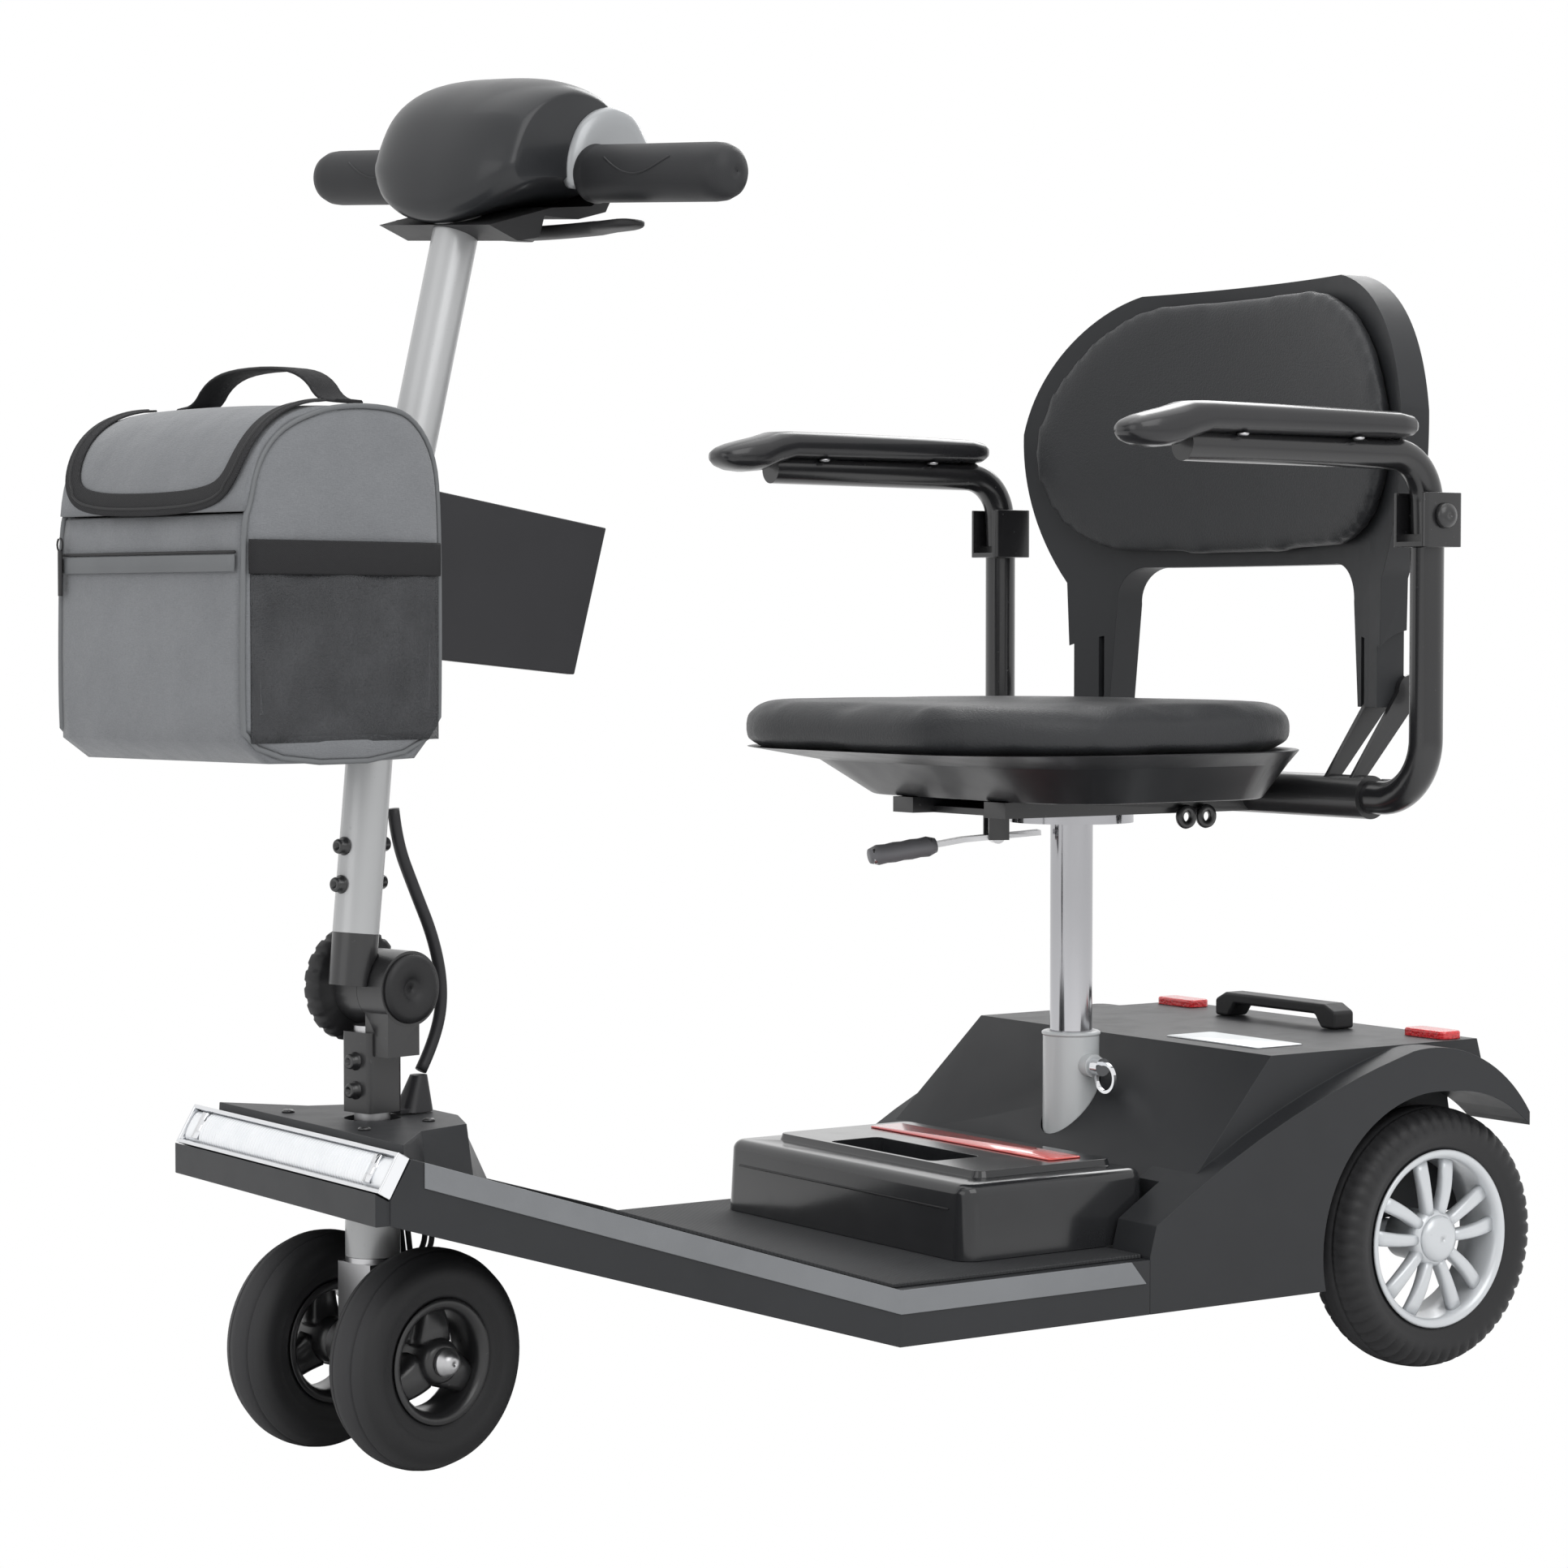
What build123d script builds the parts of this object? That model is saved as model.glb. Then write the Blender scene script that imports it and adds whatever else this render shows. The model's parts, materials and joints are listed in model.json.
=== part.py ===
"""A light travel mobility scooter, in millimetres.

+X is forward, +Y is the rider's left and +Z is up. The origin is on the ground at the middle of
the whole object's box, and Y = 0 is the middle plane. The tiller and the front wheels are built
in their own turned frame, because the scooter stands with its steering a little to the left.
"""

import os
from math import cos, pi, radians, sin, tan

from build123d import *

os.makedirs("parts", exist_ok=True)

# ---- driving sizes ------------------------------------------------------------------------
rear_axle_x = -462.2  # the rear axle, from the origin
wheelbase = 827.0
rear_tyre_r = 101.5
rear_tyre_width = 50.0
rear_track = 336.0
front_tyre_r = 76.0
front_tyre_width = 43.0
front_track = 110.0
steer_rest = 12.0  # degrees that the steering is turned to the left at rest
wall = 3.5  # moulded covers
seat_gap = 0.3  # between pieces that rest on each other
running_gap = 0.05  # radial, shaft in hole

deck_half = 205.0
deck_low = 76.0
deck_top = 116.0
deck_rear = 303.0  # ahead of the rear axle, as are all the chassis lengths below
ramp_start = 526.0
nose_x = 895.0
nose_half = 150.0
nose_low = 186.0
nose_tilt = 30.0  # degrees, how far the light's face leans back
light_height = 30.0
mat_thick = 3.0

post_x = 213.0
post_r = 16.5
post_top = 422.0
socket_wall = 5.5
socket_top = 256.0
frame_low = 82.0
frame_high = 104.0

hinge_x = -9.0  # fold hinge, ahead of the steering axis
hinge_z = 326.0
barrel_r = 26.0
tube_r = 16.0
tube_wall = 2.0
head_x = -122.0
bar_z = 893.0
bar_setback = 18.0  # the bar lies this far behind the middle of the head
bar_roll = 4.0  # degrees, left grip low
bar_r = 11.0
grip_r = 20.0
bar_half = 215.0

seat_z = 481.0  # rim of the pan
cushion_thick = 32.0
back_hinge_x = 33.0
back_hinge_z = 524.0
arm_half = 258.0
arm_x = 85.0
arm_r = 12.5
arm_pivot_z = 655.0

# ---- frames -------------------------------------------------------------------------------
# side: x runs forward from the rear axle and y is height; plan: x forward, y to the left
side = Plane(origin=(rear_axle_x, 0, 0), x_dir=(1, 0, 0), z_dir=(0, -1, 0))
plan = Plane(origin=(rear_axle_x, 0, 0))
steer_forward = Vector(cos(radians(steer_rest)), sin(radians(steer_rest)), 0)
steer_left = Vector(-sin(radians(steer_rest)), cos(radians(steer_rest)), 0)
up = Vector(0, 0, 1)
steer_plan = Plane(origin=(rear_axle_x + wheelbase, 0, 0), x_dir=steer_forward, z_dir=up)
steer_side = Plane(origin=steer_plan.origin, x_dir=steer_forward, z_dir=steer_left * -1)


def chassis_point(x, y, z):
    """A point ahead of the rear axle, to the left and up."""
    return Vector(rear_axle_x + x, y, z)


def steered(x, y, z):
    """A point ahead of the steering axis, to the left of the turned middle plane and up."""
    return steer_plan.from_local_coords(Vector(x, y, z))


def cross_plane(x):
    """An upright plane across the scooter: x to the left and y up."""
    return Plane(origin=chassis_point(x, 0, 0), x_dir=(0, 1, 0), z_dir=(1, 0, 0))


def wheel_plane(centre, outward):
    """Sketch x is the radius and sketch y runs outward along the axle."""
    return Plane(origin=centre, x_dir=up, z_dir=up.cross(outward))


# ---- deck ---------------------------------------------------------------------------------
ramp_rise = tan(radians(17.7))  # slope of the deck's ramp
ramp_low_rise = (nose_low - deck_low) / (nose_x - ramp_start)
face_run = light_height * sin(radians(nose_tilt))
face_rise = light_height * cos(radians(nose_tilt))
nose_top_x = nose_x - face_run
nose_top_z = deck_top + (nose_top_x - ramp_start) * ramp_rise
face_low_z = nose_top_z - face_rise
deck_outline = [(deck_rear, deck_half), (ramp_start, deck_half), (nose_x + 10, nose_half)]
open_nose_x = 690.0  # ahead of this the tray has no floor, so the front wheels can turn


def deck_side(inset, floor):
    """The tray's side outline, inset from its top and floor."""
    return [
        (deck_rear - 20 if inset else deck_rear, deck_low + floor),
        (ramp_start, deck_low + floor),
        (nose_x - inset, deck_low + floor + (nose_x - inset - ramp_start) * ramp_low_rise),
        (nose_x - inset, face_low_z),
        (nose_top_x - inset, nose_top_z - inset - inset * ramp_rise),
        (ramp_start, deck_top - inset),
        (deck_rear - 20 if inset else deck_rear, deck_top - inset),
    ]


def deck_half_outline(grow):
    """The deck's plan outline, grown outward, as a closed polygon."""
    left = [(x, y + grow) for x, y in deck_outline]
    return left + [(x, -y) for x, y in reversed(left)]


with BuildPart() as deck_cavity:
    with BuildSketch(plan):
        Polygon(*[(x - 20 if x == deck_rear else x, y) for x, y in deck_half_outline(-4)], align=None)
    extrude(amount=300)
    with BuildSketch(side):
        Polygon(*deck_side(4, 3), align=None)
    extrude(amount=deck_half + 20, both=True, mode=Mode.INTERSECT)

with BuildPart() as deck_tray:
    with BuildSketch(plan):
        Polygon(*deck_half_outline(0), align=None)
    extrude(amount=300)
    with BuildSketch(side):
        Polygon(*deck_side(0, 0), align=None)
    extrude(amount=deck_half + 10, both=True, mode=Mode.INTERSECT)
    add(deck_cavity.part, mode=Mode.SUBTRACT)
    with BuildSketch(side):
        Polygon(
            (open_nose_x, deck_low),
            (open_nose_x, deck_top - 5 + (open_nose_x - ramp_start) * ramp_rise),
            (nose_x - 12, deck_top - 5 + (nose_x - 12 - ramp_start) * ramp_rise - 4),
            (nose_x - 12, deck_low),
            align=None,
        )
    extrude(amount=134, both=True, mode=Mode.SUBTRACT)
    with BuildSketch(plan):
        with Locations((wheelbase, 0)):
            Circle(19.4)
    extrude(amount=300, mode=Mode.SUBTRACT)
    with BuildSketch(side):
        bumper_low = (nose_x, nose_low)
        Polygon(
            bumper_low,
            (nose_x + 10, nose_low),
            (nose_x + 10, face_low_z + 10 * tan(radians(nose_tilt)) - 1),
            (nose_x, face_low_z - 1),
            align=None,
        )
    extrude(amount=nose_half, both=True)
deck_tray.part.label = "deck_tray"
export_step(deck_tray.part, "parts/deck_tray.step")

mat_front = 742.0
with BuildPart() as floor_mat:
    with BuildSketch(plan):
        Polygon(*deck_half_outline(-9), align=None)
    extrude(amount=300)
    with BuildSketch(side):
        Polygon(
            (deck_rear + 1, deck_top),
            (ramp_start, deck_top),
            (mat_front, deck_top + (mat_front - ramp_start) * ramp_rise),
            (mat_front, deck_top + (mat_front - ramp_start) * ramp_rise + mat_thick),
            (ramp_start, deck_top + mat_thick),
            (deck_rear + 1, deck_top + mat_thick),
            align=None,
        )
    extrude(amount=deck_half, both=True, mode=Mode.INTERSECT)
floor_mat.part.label = "floor_mat"
export_step(floor_mat.part, "parts/floor_mat.step")

stripe_height = 17.0
with BuildPart() as edge_stripe:
    with BuildSketch(plan):
        Polygon(*deck_half_outline(1.2), align=None)
        Polygon(*deck_half_outline(0), align=None, mode=Mode.SUBTRACT)
    extrude(amount=300)
    with BuildSketch(side):
        Polygon(
            (deck_rear + 4, deck_top - stripe_height),
            (ramp_start, deck_top - stripe_height),
            (nose_top_x - 8, nose_top_z - 8 * ramp_rise - stripe_height),
            (nose_top_x - 8, nose_top_z - 8 * ramp_rise),
            (ramp_start, deck_top),
            (deck_rear + 18, deck_top),
            align=None,
        )
    extrude(amount=deck_half + 10, both=True, mode=Mode.INTERSECT)
edge_stripe.part.label = "edge_stripe"
export_step(edge_stripe.part, "parts/edge_stripe.step")

# ---- headlight ----------------------------------------------------------------------------
light_normal = Vector(cos(radians(nose_tilt)), 0, sin(radians(nose_tilt)))
light_centre = chassis_point((nose_x + nose_top_x) / 2, 0, (face_low_z + nose_top_z) / 2)
light_plane = Plane(origin=light_centre, x_dir=(0, 1, 0), z_dir=light_normal)
light_half = 151.5
light_depth = 10.0
light_border = 3.0
with BuildPart() as headlight_frame:
    with BuildSketch(light_plane.offset(seat_gap)):
        Rectangle(2 * light_half, light_height)
    extrude(amount=light_depth)
    with BuildSketch(light_plane.offset(seat_gap + 2)):
        Rectangle(2 * (light_half - light_border), light_height - 2 * light_border)
    extrude(amount=light_depth, mode=Mode.SUBTRACT)
    fillet(headlight_frame.edges().filter_by(Axis.Y).group_by(Axis.X)[-1], 1.0)
headlight_frame.part.label = "headlight_frame"
export_step(headlight_frame.part, "parts/headlight_frame.step")

with BuildPart() as headlight_lens:
    with BuildSketch(light_plane.offset(seat_gap + 2.2)):
        Rectangle(2 * (light_half - light_border) - 0.6, light_height - 2 * light_border - 0.6)
    extrude(amount=light_depth - 1)
    fillet(headlight_lens.faces().sort_by(Axis.X)[-1].edges(), 2.5)
headlight_lens.part.label = "headlight_lens"
export_step(headlight_lens.part, "parts/headlight_lens.step")

# ---- steering cover, head tube ------------------------------------------------------------
cover_top = 236.0
cover_front = nose_top_x - 3
cover_foot = [(cover_front, 142), (838, 104), (796, 92), (748, 34)]
cover_roof = [(cover_front, 136), (834, 82), (790, 66), (772, 22)]
head_tube_r = 19.0
head_bore_r = 16.0
head_low = 141.0
head_high = 232.0


def mirrored(points):
    """The left half's points, and the same on the right, as one closed polygon."""
    return points + [(x, -y) for x, y in reversed(points)]


with BuildPart() as steering_cover:
    with BuildSketch(plan.offset(deck_top + 60)):
        Polygon(*mirrored(cover_foot), align=None)
    with BuildSketch(plan.offset(cover_top)):
        Polygon(*mirrored(cover_roof), align=None)
    loft()
    with BuildSketch(side):
        Polygon(
            (ramp_start, deck_top + seat_gap),
            (nose_x + 40, deck_top + seat_gap + (nose_x + 40 - ramp_start) * ramp_rise),
            (nose_x + 40, 0),
            (ramp_start, 0),
            align=None,
        )
    extrude(amount=deck_half, both=True, mode=Mode.SUBTRACT)
    with BuildSketch(plan):
        with Locations((wheelbase, 0)):
            Circle(head_tube_r + 0.5)
    extrude(amount=cover_top + 10, mode=Mode.SUBTRACT)
steering_cover.part.label = "steering_cover"
export_step(steering_cover.part, "parts/steering_cover.step")

with BuildPart() as head_tube:
    with BuildSketch(steer_plan.offset(head_low)):
        Circle(head_tube_r)
        Circle(head_bore_r, mode=Mode.SUBTRACT)
    extrude(amount=head_high - head_low)
head_tube.part.label = "head_tube"
export_step(head_tube.part, "parts/head_tube.step")

stem_r = 12.5
bearing_height = 10.0
with BuildPart() as head_bearings:
    for height in (head_low + 1, head_high - bearing_height - 1):
        with BuildSketch(steer_plan.offset(height)):
            Circle(head_bore_r - 0.02)
            Circle(stem_r + running_gap, mode=Mode.SUBTRACT)
        extrude(amount=bearing_height)
head_bearings.part.label = "head_bearings"
export_step(head_bearings.part, "parts/head_bearings.step")

# ---- welded frame inside the deck ---------------------------------------------------------
rail_y = 105.0
rail_width = 30.0
rail_rear = 50.0
rail_front = 500.0
cross_places = (rail_rear + 15, post_x, rail_front - 15)
with BuildPart() as chassis_frame:
    for rail_side in (-1, 1):
        with BuildSketch(plan.offset(frame_low)):
            with Locations(((rail_rear + rail_front) / 2, rail_side * rail_y)):
                Rectangle(rail_front - rail_rear, rail_width)
        extrude(amount=frame_high - frame_low)
    for place, width in zip(cross_places, (30, 56, 30)):
        with BuildSketch(plan.offset(frame_low)):
            with Locations((place, 0)):
                Rectangle(width, 2 * rail_y)
        extrude(amount=frame_high - frame_low)
    with BuildSketch(side):
        Polygon(
            (rail_front - 30, frame_low),
            (ramp_start, frame_low + 1),
            (wheelbase, 170),
            (wheelbase, 197),
            (ramp_start, frame_high),
            (rail_front - 30, frame_high),
            align=None,
        )
    extrude(amount=22, both=True)
    with BuildSketch(steer_plan.offset(frame_low)):
        Circle(head_tube_r)
        with Locations((60, 0)):
            Rectangle(120, 120)
    extrude(amount=200, mode=Mode.SUBTRACT)
chassis_frame.part.label = "chassis_frame"
export_step(chassis_frame.part, "parts/chassis_frame.step")

# ---- rear cover ---------------------------------------------------------------------------
hump_top = 253.0
hump_front = 165.0
hump_rear = -48.0
fender_in = 137.0
arch_r = 116.0
arch_shift = 18.0
battery_rear = 262.0
battery_front = 435.0
battery_half = 157.0
battery_base = deck_top + mat_thick + seat_gap
battery_top = 174.0
hump_foot = 75.0  # behind the axle, the hump's foot
hump_foot_centre = (deck_rear - hump_foot) / 2
hump_foot_length = deck_rear + hump_foot
hump_centre = (hump_front + hump_rear) / 2
hump_length = hump_front - hump_rear

with BuildPart() as hump_hollow:
    with BuildSketch(plan.offset(deck_low - 1)):
        with Locations((hump_foot_centre, 0)):
            Rectangle(hump_foot_length - 2 * wall, 2 * (fender_in - wall))
    with BuildSketch(plan.offset(hump_top - wall)):
        with Locations((hump_centre, 0)):
            Rectangle(hump_length - 2 * wall, 2 * (fender_in - wall))
    loft()

with BuildPart() as rear_cover:
    with BuildSketch(plan.offset(deck_top - 4)):
        with Locations((hump_foot_centre, 0)):
            Rectangle(hump_foot_length, 2 * 194)
    with BuildSketch(plan.offset(hump_top)):
        with Locations((hump_centre, 0)):
            Rectangle(hump_length, 2 * 179)
    loft()
    for fender_side in (-1, 1):
        with BuildSketch(side.offset(-fender_side * fender_in)):
            with BuildLine():
                Polyline((-80, 150), (-80, 196))
                ThreePointArc((-80, 196), (-30, 240), (44, 251))
                ThreePointArc((44, 251), (159, 213), (deck_rear - 6, 140))
                Polyline((deck_rear - 6, 140), (deck_rear, 118), (deck_rear, deck_low))
                Polyline((deck_rear, deck_low), (100, deck_low), (-80, 150))
            make_face()
        extrude(amount=-fender_side * (deck_half - fender_in))
    add(hump_hollow.part, mode=Mode.SUBTRACT)
    # the hollow ahead of each wheel
    with BuildSketch(side):
        Polygon(
            (141, deck_low - 1),
            (deck_rear + 1, deck_low - 1),
            (deck_rear + 1, 112),
            (250, 136),
            (141, 190),
            align=None,
        )
    extrude(amount=deck_half - wall, both=True, mode=Mode.SUBTRACT)
    # wheel arches
    for fender_side in (-1, 1):
        with BuildSketch(side.offset(-fender_side * fender_in)):
            with Locations((0, rear_tyre_r)):
                Circle(arch_r)
            with Locations((arch_shift, rear_tyre_r)):
                Circle(arch_r + 1)
        extrude(amount=-fender_side * 80, mode=Mode.SUBTRACT)
    # the notch that the battery drops into, and the hole for the seat socket
    with BuildSketch(plan.offset(deck_low)):
        with Locations(((battery_rear + deck_rear) / 2, 0)):
            Rectangle(deck_rear - battery_rear + 8, 2 * battery_half + 8)
    extrude(amount=200, mode=Mode.SUBTRACT)
    with BuildSketch(plan.offset(deck_low)):
        with Locations((post_x, 0)):
            Circle(post_r + socket_wall + 1)
    extrude(amount=200, mode=Mode.SUBTRACT)
rear_cover.part.label = "rear_cover"
export_step(rear_cover.part, "parts/rear_cover.step")

with BuildPart() as tail_lights:
    for light_side in (-1, 1):
        with BuildSketch(plan.offset(hump_top + seat_gap)):
            with Locations((hump_rear + 20, light_side * 150)):
                RectangleRounded(22, 46, 6)
        extrude(amount=6)
    fillet(tail_lights.faces().group_by(Axis.Z)[-1].edges(), 2)
tail_lights.part.label = "tail_lights"
export_step(tail_lights.part, "parts/tail_lights.step")

grip_reach = 72.0
with BuildPart() as carry_grip:
    with BuildSketch(cross_plane(hump_rear + 30)):
        with BuildLine():
            Polyline(
                (-grip_reach, hump_top + seat_gap),
                (-grip_reach, hump_top + 14),
                (-grip_reach + 12, hump_top + 20),
                (grip_reach - 12, hump_top + 20),
                (grip_reach, hump_top + 14),
                (grip_reach, hump_top + seat_gap),
                (grip_reach - 16, hump_top + seat_gap),
                (grip_reach - 24, hump_top + 11),
                (-grip_reach + 24, hump_top + 11),
                (-grip_reach + 16, hump_top + seat_gap),
                close=True,
            )
        make_face()
    extrude(amount=22)
carry_grip.part.label = "carry_grip"
export_step(carry_grip.part, "parts/carry_grip.step")

# ---- seat socket, transaxle, controller ---------------------------------------------------
pin_z = 234.0
pin_plane = Plane(origin=chassis_point(post_x, 0, pin_z), x_dir=(1, 0, 0), z_dir=(0, 1, 0))
with BuildPart() as seat_socket:
    with BuildSketch(plan.offset(frame_high + seat_gap)):
        with Locations((post_x, 0)):
            Circle(post_r + socket_wall)
            Circle(post_r + running_gap, mode=Mode.SUBTRACT)
    extrude(amount=socket_top - frame_high - seat_gap)
    with BuildSketch(plan.offset(frame_high + seat_gap)):
        with Locations((post_x, 0)):
            Circle(post_r + socket_wall)
    extrude(amount=6)
    with BuildSketch(pin_plane):
        Circle(9)
    extrude(amount=post_r + socket_wall + 7)
    with BuildSketch(plan.offset(frame_high + 20)):
        with Locations((post_x, 0)):
            Circle(post_r + running_gap)
    extrude(amount=200, mode=Mode.SUBTRACT)
    with BuildSketch(pin_plane):
        Circle(4 + running_gap)
    extrude(amount=60, mode=Mode.SUBTRACT)
seat_socket.part.label = "seat_socket"
export_step(seat_socket.part, "parts/seat_socket.step")

pin_start = post_r + 0.3
pin_face = post_r + socket_wall + 7 + 0.4
with BuildPart() as socket_pin:
    with BuildSketch(pin_plane.offset(pin_start)):
        Circle(4)
    extrude(amount=pin_face - pin_start + 2)
    with BuildSketch(pin_plane.offset(pin_face)):
        Circle(7)
    extrude(amount=10)
    with BuildSketch(cross_plane(post_x)):
        with Locations((pin_face + 13, pin_z - 8)):
            Circle(12)
            Circle(9.6, mode=Mode.SUBTRACT)
    extrude(amount=1.2, both=True)
socket_pin.part.label = "socket_pin"
export_step(socket_pin.part, "parts/socket_pin.step")

axle_r = 8.5
housing_half = 104.0
motor_r = 38.0
with BuildPart() as transaxle:
    axle_plane = Plane(origin=chassis_point(0, 0, rear_tyre_r), x_dir=(1, 0, 0), z_dir=(0, -1, 0))
    with BuildSketch(axle_plane):
        Circle(17)
    extrude(amount=housing_half, both=True)
    with BuildSketch(axle_plane.offset(-30)):
        with Locations((0, 6)):
            Circle(44)
    extrude(amount=36)
    with BuildSketch(cross_plane(30)):
        with Locations((12, frame_high + seat_gap + motor_r)):
            Circle(motor_r)
    extrude(amount=110)
    with BuildSketch(axle_plane):
        Circle(axle_r + running_gap)
    extrude(amount=housing_half + 10, both=True, mode=Mode.SUBTRACT)
transaxle.part.label = "transaxle"
export_step(transaxle.part, "parts/transaxle.step")

with BuildPart() as controller:
    with BuildSketch(plan.offset(frame_high + seat_gap)):
        with Locations((80, -88)):
            RectangleRounded(110, 62, 4)
    extrude(amount=38)
controller.part.label = "controller"
export_step(controller.part, "parts/controller.step")

# ---- battery ------------------------------------------------------------------------------
recess_x = 374.0
recess_length = 132.0
recess_width = 46.0
with BuildPart() as battery_case:
    with BuildSketch(plan.offset(battery_base)):
        with Locations(((battery_rear + battery_front) / 2, 0)):
            RectangleRounded(battery_front - battery_rear, 2 * battery_half, 16)
    extrude(amount=battery_top - battery_base, taper=3)
    fillet(battery_case.faces().sort_by(Axis.Z)[-1].edges(), 8)
    with BuildSketch(plan.offset(battery_top - 1)):
        with Locations((339, 0)):
            RectangleRounded(128, 262, 10)
    extrude(amount=6, taper=20)
    with BuildSketch(plan.offset(battery_base + 3)):
        with Locations(((battery_rear + battery_front) / 2, 0)):
            RectangleRounded(battery_front - battery_rear - 14, 2 * battery_half - 14, 10)
    extrude(amount=battery_top - battery_base - 12, mode=Mode.SUBTRACT)
    with BuildSketch(plan.offset(battery_top - 36)):
        with Locations((recess_x, 0)):
            RectangleRounded(recess_width + 6, recess_length + 6, 8)
    extrude(amount=34)
    with BuildSketch(plan.offset(battery_top - 33)):
        with Locations((recess_x, 0)):
            RectangleRounded(recess_width, recess_length, 6)
    extrude(amount=60, mode=Mode.SUBTRACT)
battery_case.part.label = "battery_case"
export_step(battery_case.part, "parts/battery_case.step")

with BuildPart() as battery_cells:
    with BuildSketch(plan.offset(battery_base + 3 + seat_gap)):
        with Locations((295, 0)):
            Rectangle(52, 260)
    extrude(amount=30)
battery_cells.part.label = "battery_cells"
export_step(battery_cells.part, "parts/battery_cells.step")

# ---- wires under the deck -----------------------------------------------------------------
wire_r = 2.0
wire_route = [(783, 156), (784, 144), (791, 133), (800, 136), (803, 161)]


def corner_radii(points):
    """Arc radius at each corner: 0.45 of the shorter run over the tangent of half the turn."""
    radii = []
    for before, at, after in zip(points, points[1:], points[2:]):
        run_in = Vector(*at) - Vector(*before)
        run_out = Vector(*after) - Vector(*at)
        turn = run_in.get_angle(run_out)
        radii.append(0.45 * min(run_in.length, run_out.length) / tan(radians(turn / 2)))
    return radii


wire_radii = corner_radii(wire_route)
print("wire radii", [round(r, 1) for r in wire_radii])
with BuildPart() as deck_wires:
    for shift in (-5, 5):
        with BuildLine(side.offset(shift)) as wire_path:
            FilletPolyline(*wire_route, radius=wire_radii)
        with BuildSketch(Plane(origin=wire_path.line @ 0, z_dir=wire_path.line % 0)):
            Circle(wire_r)
        sweep(path=wire_path.line)
deck_wires.part.label = "deck_wires"
export_step(deck_wires.part, "parts/deck_wires.step")

# ---- seat post ----------------------------------------------------------------------------
swivel_z = 430.0
with BuildPart() as seat_post:
    with BuildSketch(plan.offset(frame_high + 10)):
        with Locations((post_x, 0)):
            Circle(post_r)
    extrude(amount=post_top - frame_high - 10)
    with BuildSketch(plan.offset(post_top)):
        with Locations((post_x, 0)):
            Circle(48)
    extrude(amount=swivel_z - post_top)
seat_post.part.label = "seat_post"
export_step(seat_post.part, "parts/seat_post.step")

# ---- seat frame, pan, cushion -------------------------------------------------------------
lever_z = 418.0
lever_pivot = 60.0
lever_pin_z = lever_z - 6.8
lever_turn = radians(-25)
lever_plane = Plane(
    origin=chassis_point(post_x, 0, 0),
    x_dir=(cos(lever_turn), sin(lever_turn), 0),
    z_dir=(sin(lever_turn), -cos(lever_turn), 0),
)
receiver_z = 445.0
receiver_x = arm_x
ear_y = 172.0
ear_foot = receiver_z + arm_r + 2
with BuildPart() as seat_frame:
    # swivel plate, two channels and the cross tube that takes both arm tubes
    with BuildSketch(plan.offset(swivel_z + seat_gap)):
        with Locations((post_x, 0)):
            Circle(52)
        with Locations((post_x, 0)):
            Rectangle(200, 90)
    extrude(amount=5)
    for channel_side in (-1, 1):
        with BuildSketch(plan.offset(swivel_z + seat_gap)):
            with Locations((post_x - 25, channel_side * 58)):
                Rectangle(290, 26)
        extrude(amount=12)
    with BuildSketch(side):
        with Locations((receiver_x, receiver_z)):
            Circle(arm_r + 4)
    extrude(amount=arm_half - 58, both=True)
    with BuildSketch(side):
        with Locations((receiver_x, receiver_z)):
            Circle(arm_r + running_gap)
    extrude(amount=arm_half, both=True, mode=Mode.SUBTRACT)
    # ears that carry the backrest's hinge bolts
    for ear_side in (-1, 1):
        for ear_shift in (-14, 14):
            ear_plane = side.offset(-(ear_side * ear_y + ear_shift))
            with BuildSketch(ear_plane):
                with BuildLine():
                    Line((receiver_x - 6, ear_foot), (receiver_x + 8, ear_foot))
                    Line((receiver_x + 8, ear_foot), (back_hinge_x + 13, back_hinge_z))
                    ThreePointArc(
                        (back_hinge_x + 13, back_hinge_z),
                        (back_hinge_x, back_hinge_z + 13),
                        (back_hinge_x - 13, back_hinge_z),
                    )
                    Polyline((back_hinge_x - 13, back_hinge_z), (receiver_x - 6, ear_foot))
                make_face()
            extrude(amount=2, both=True)
        with BuildSketch(side.offset(-(ear_side * ear_y + 16))):
            with Locations((back_hinge_x, back_hinge_z)):
                Circle(5)
        extrude(amount=32)
    # cheeks and pin that carry the swivel lever
    for cheek in (-1, 1):
        with BuildSketch(lever_plane.offset(cheek * 9.5)):
            with Locations((lever_pivot, lever_z + 3.5)):
                Rectangle(16, 2 * (swivel_z - lever_z) + 1.6)
        extrude(amount=1.5, both=True)
    with BuildSketch(lever_plane):
        with Locations((lever_pivot, lever_pin_z)):
            Circle(2)
    extrude(amount=9, both=True)
seat_frame.part.label = "seat_frame"
export_step(seat_frame.part, "parts/seat_frame.step")

pan_low = swivel_z + 12 + 2 * seat_gap
pan_wall = 4.0
pan_rear = 90.0
pan_front = 440.0
pan_half = 200.0
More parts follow.
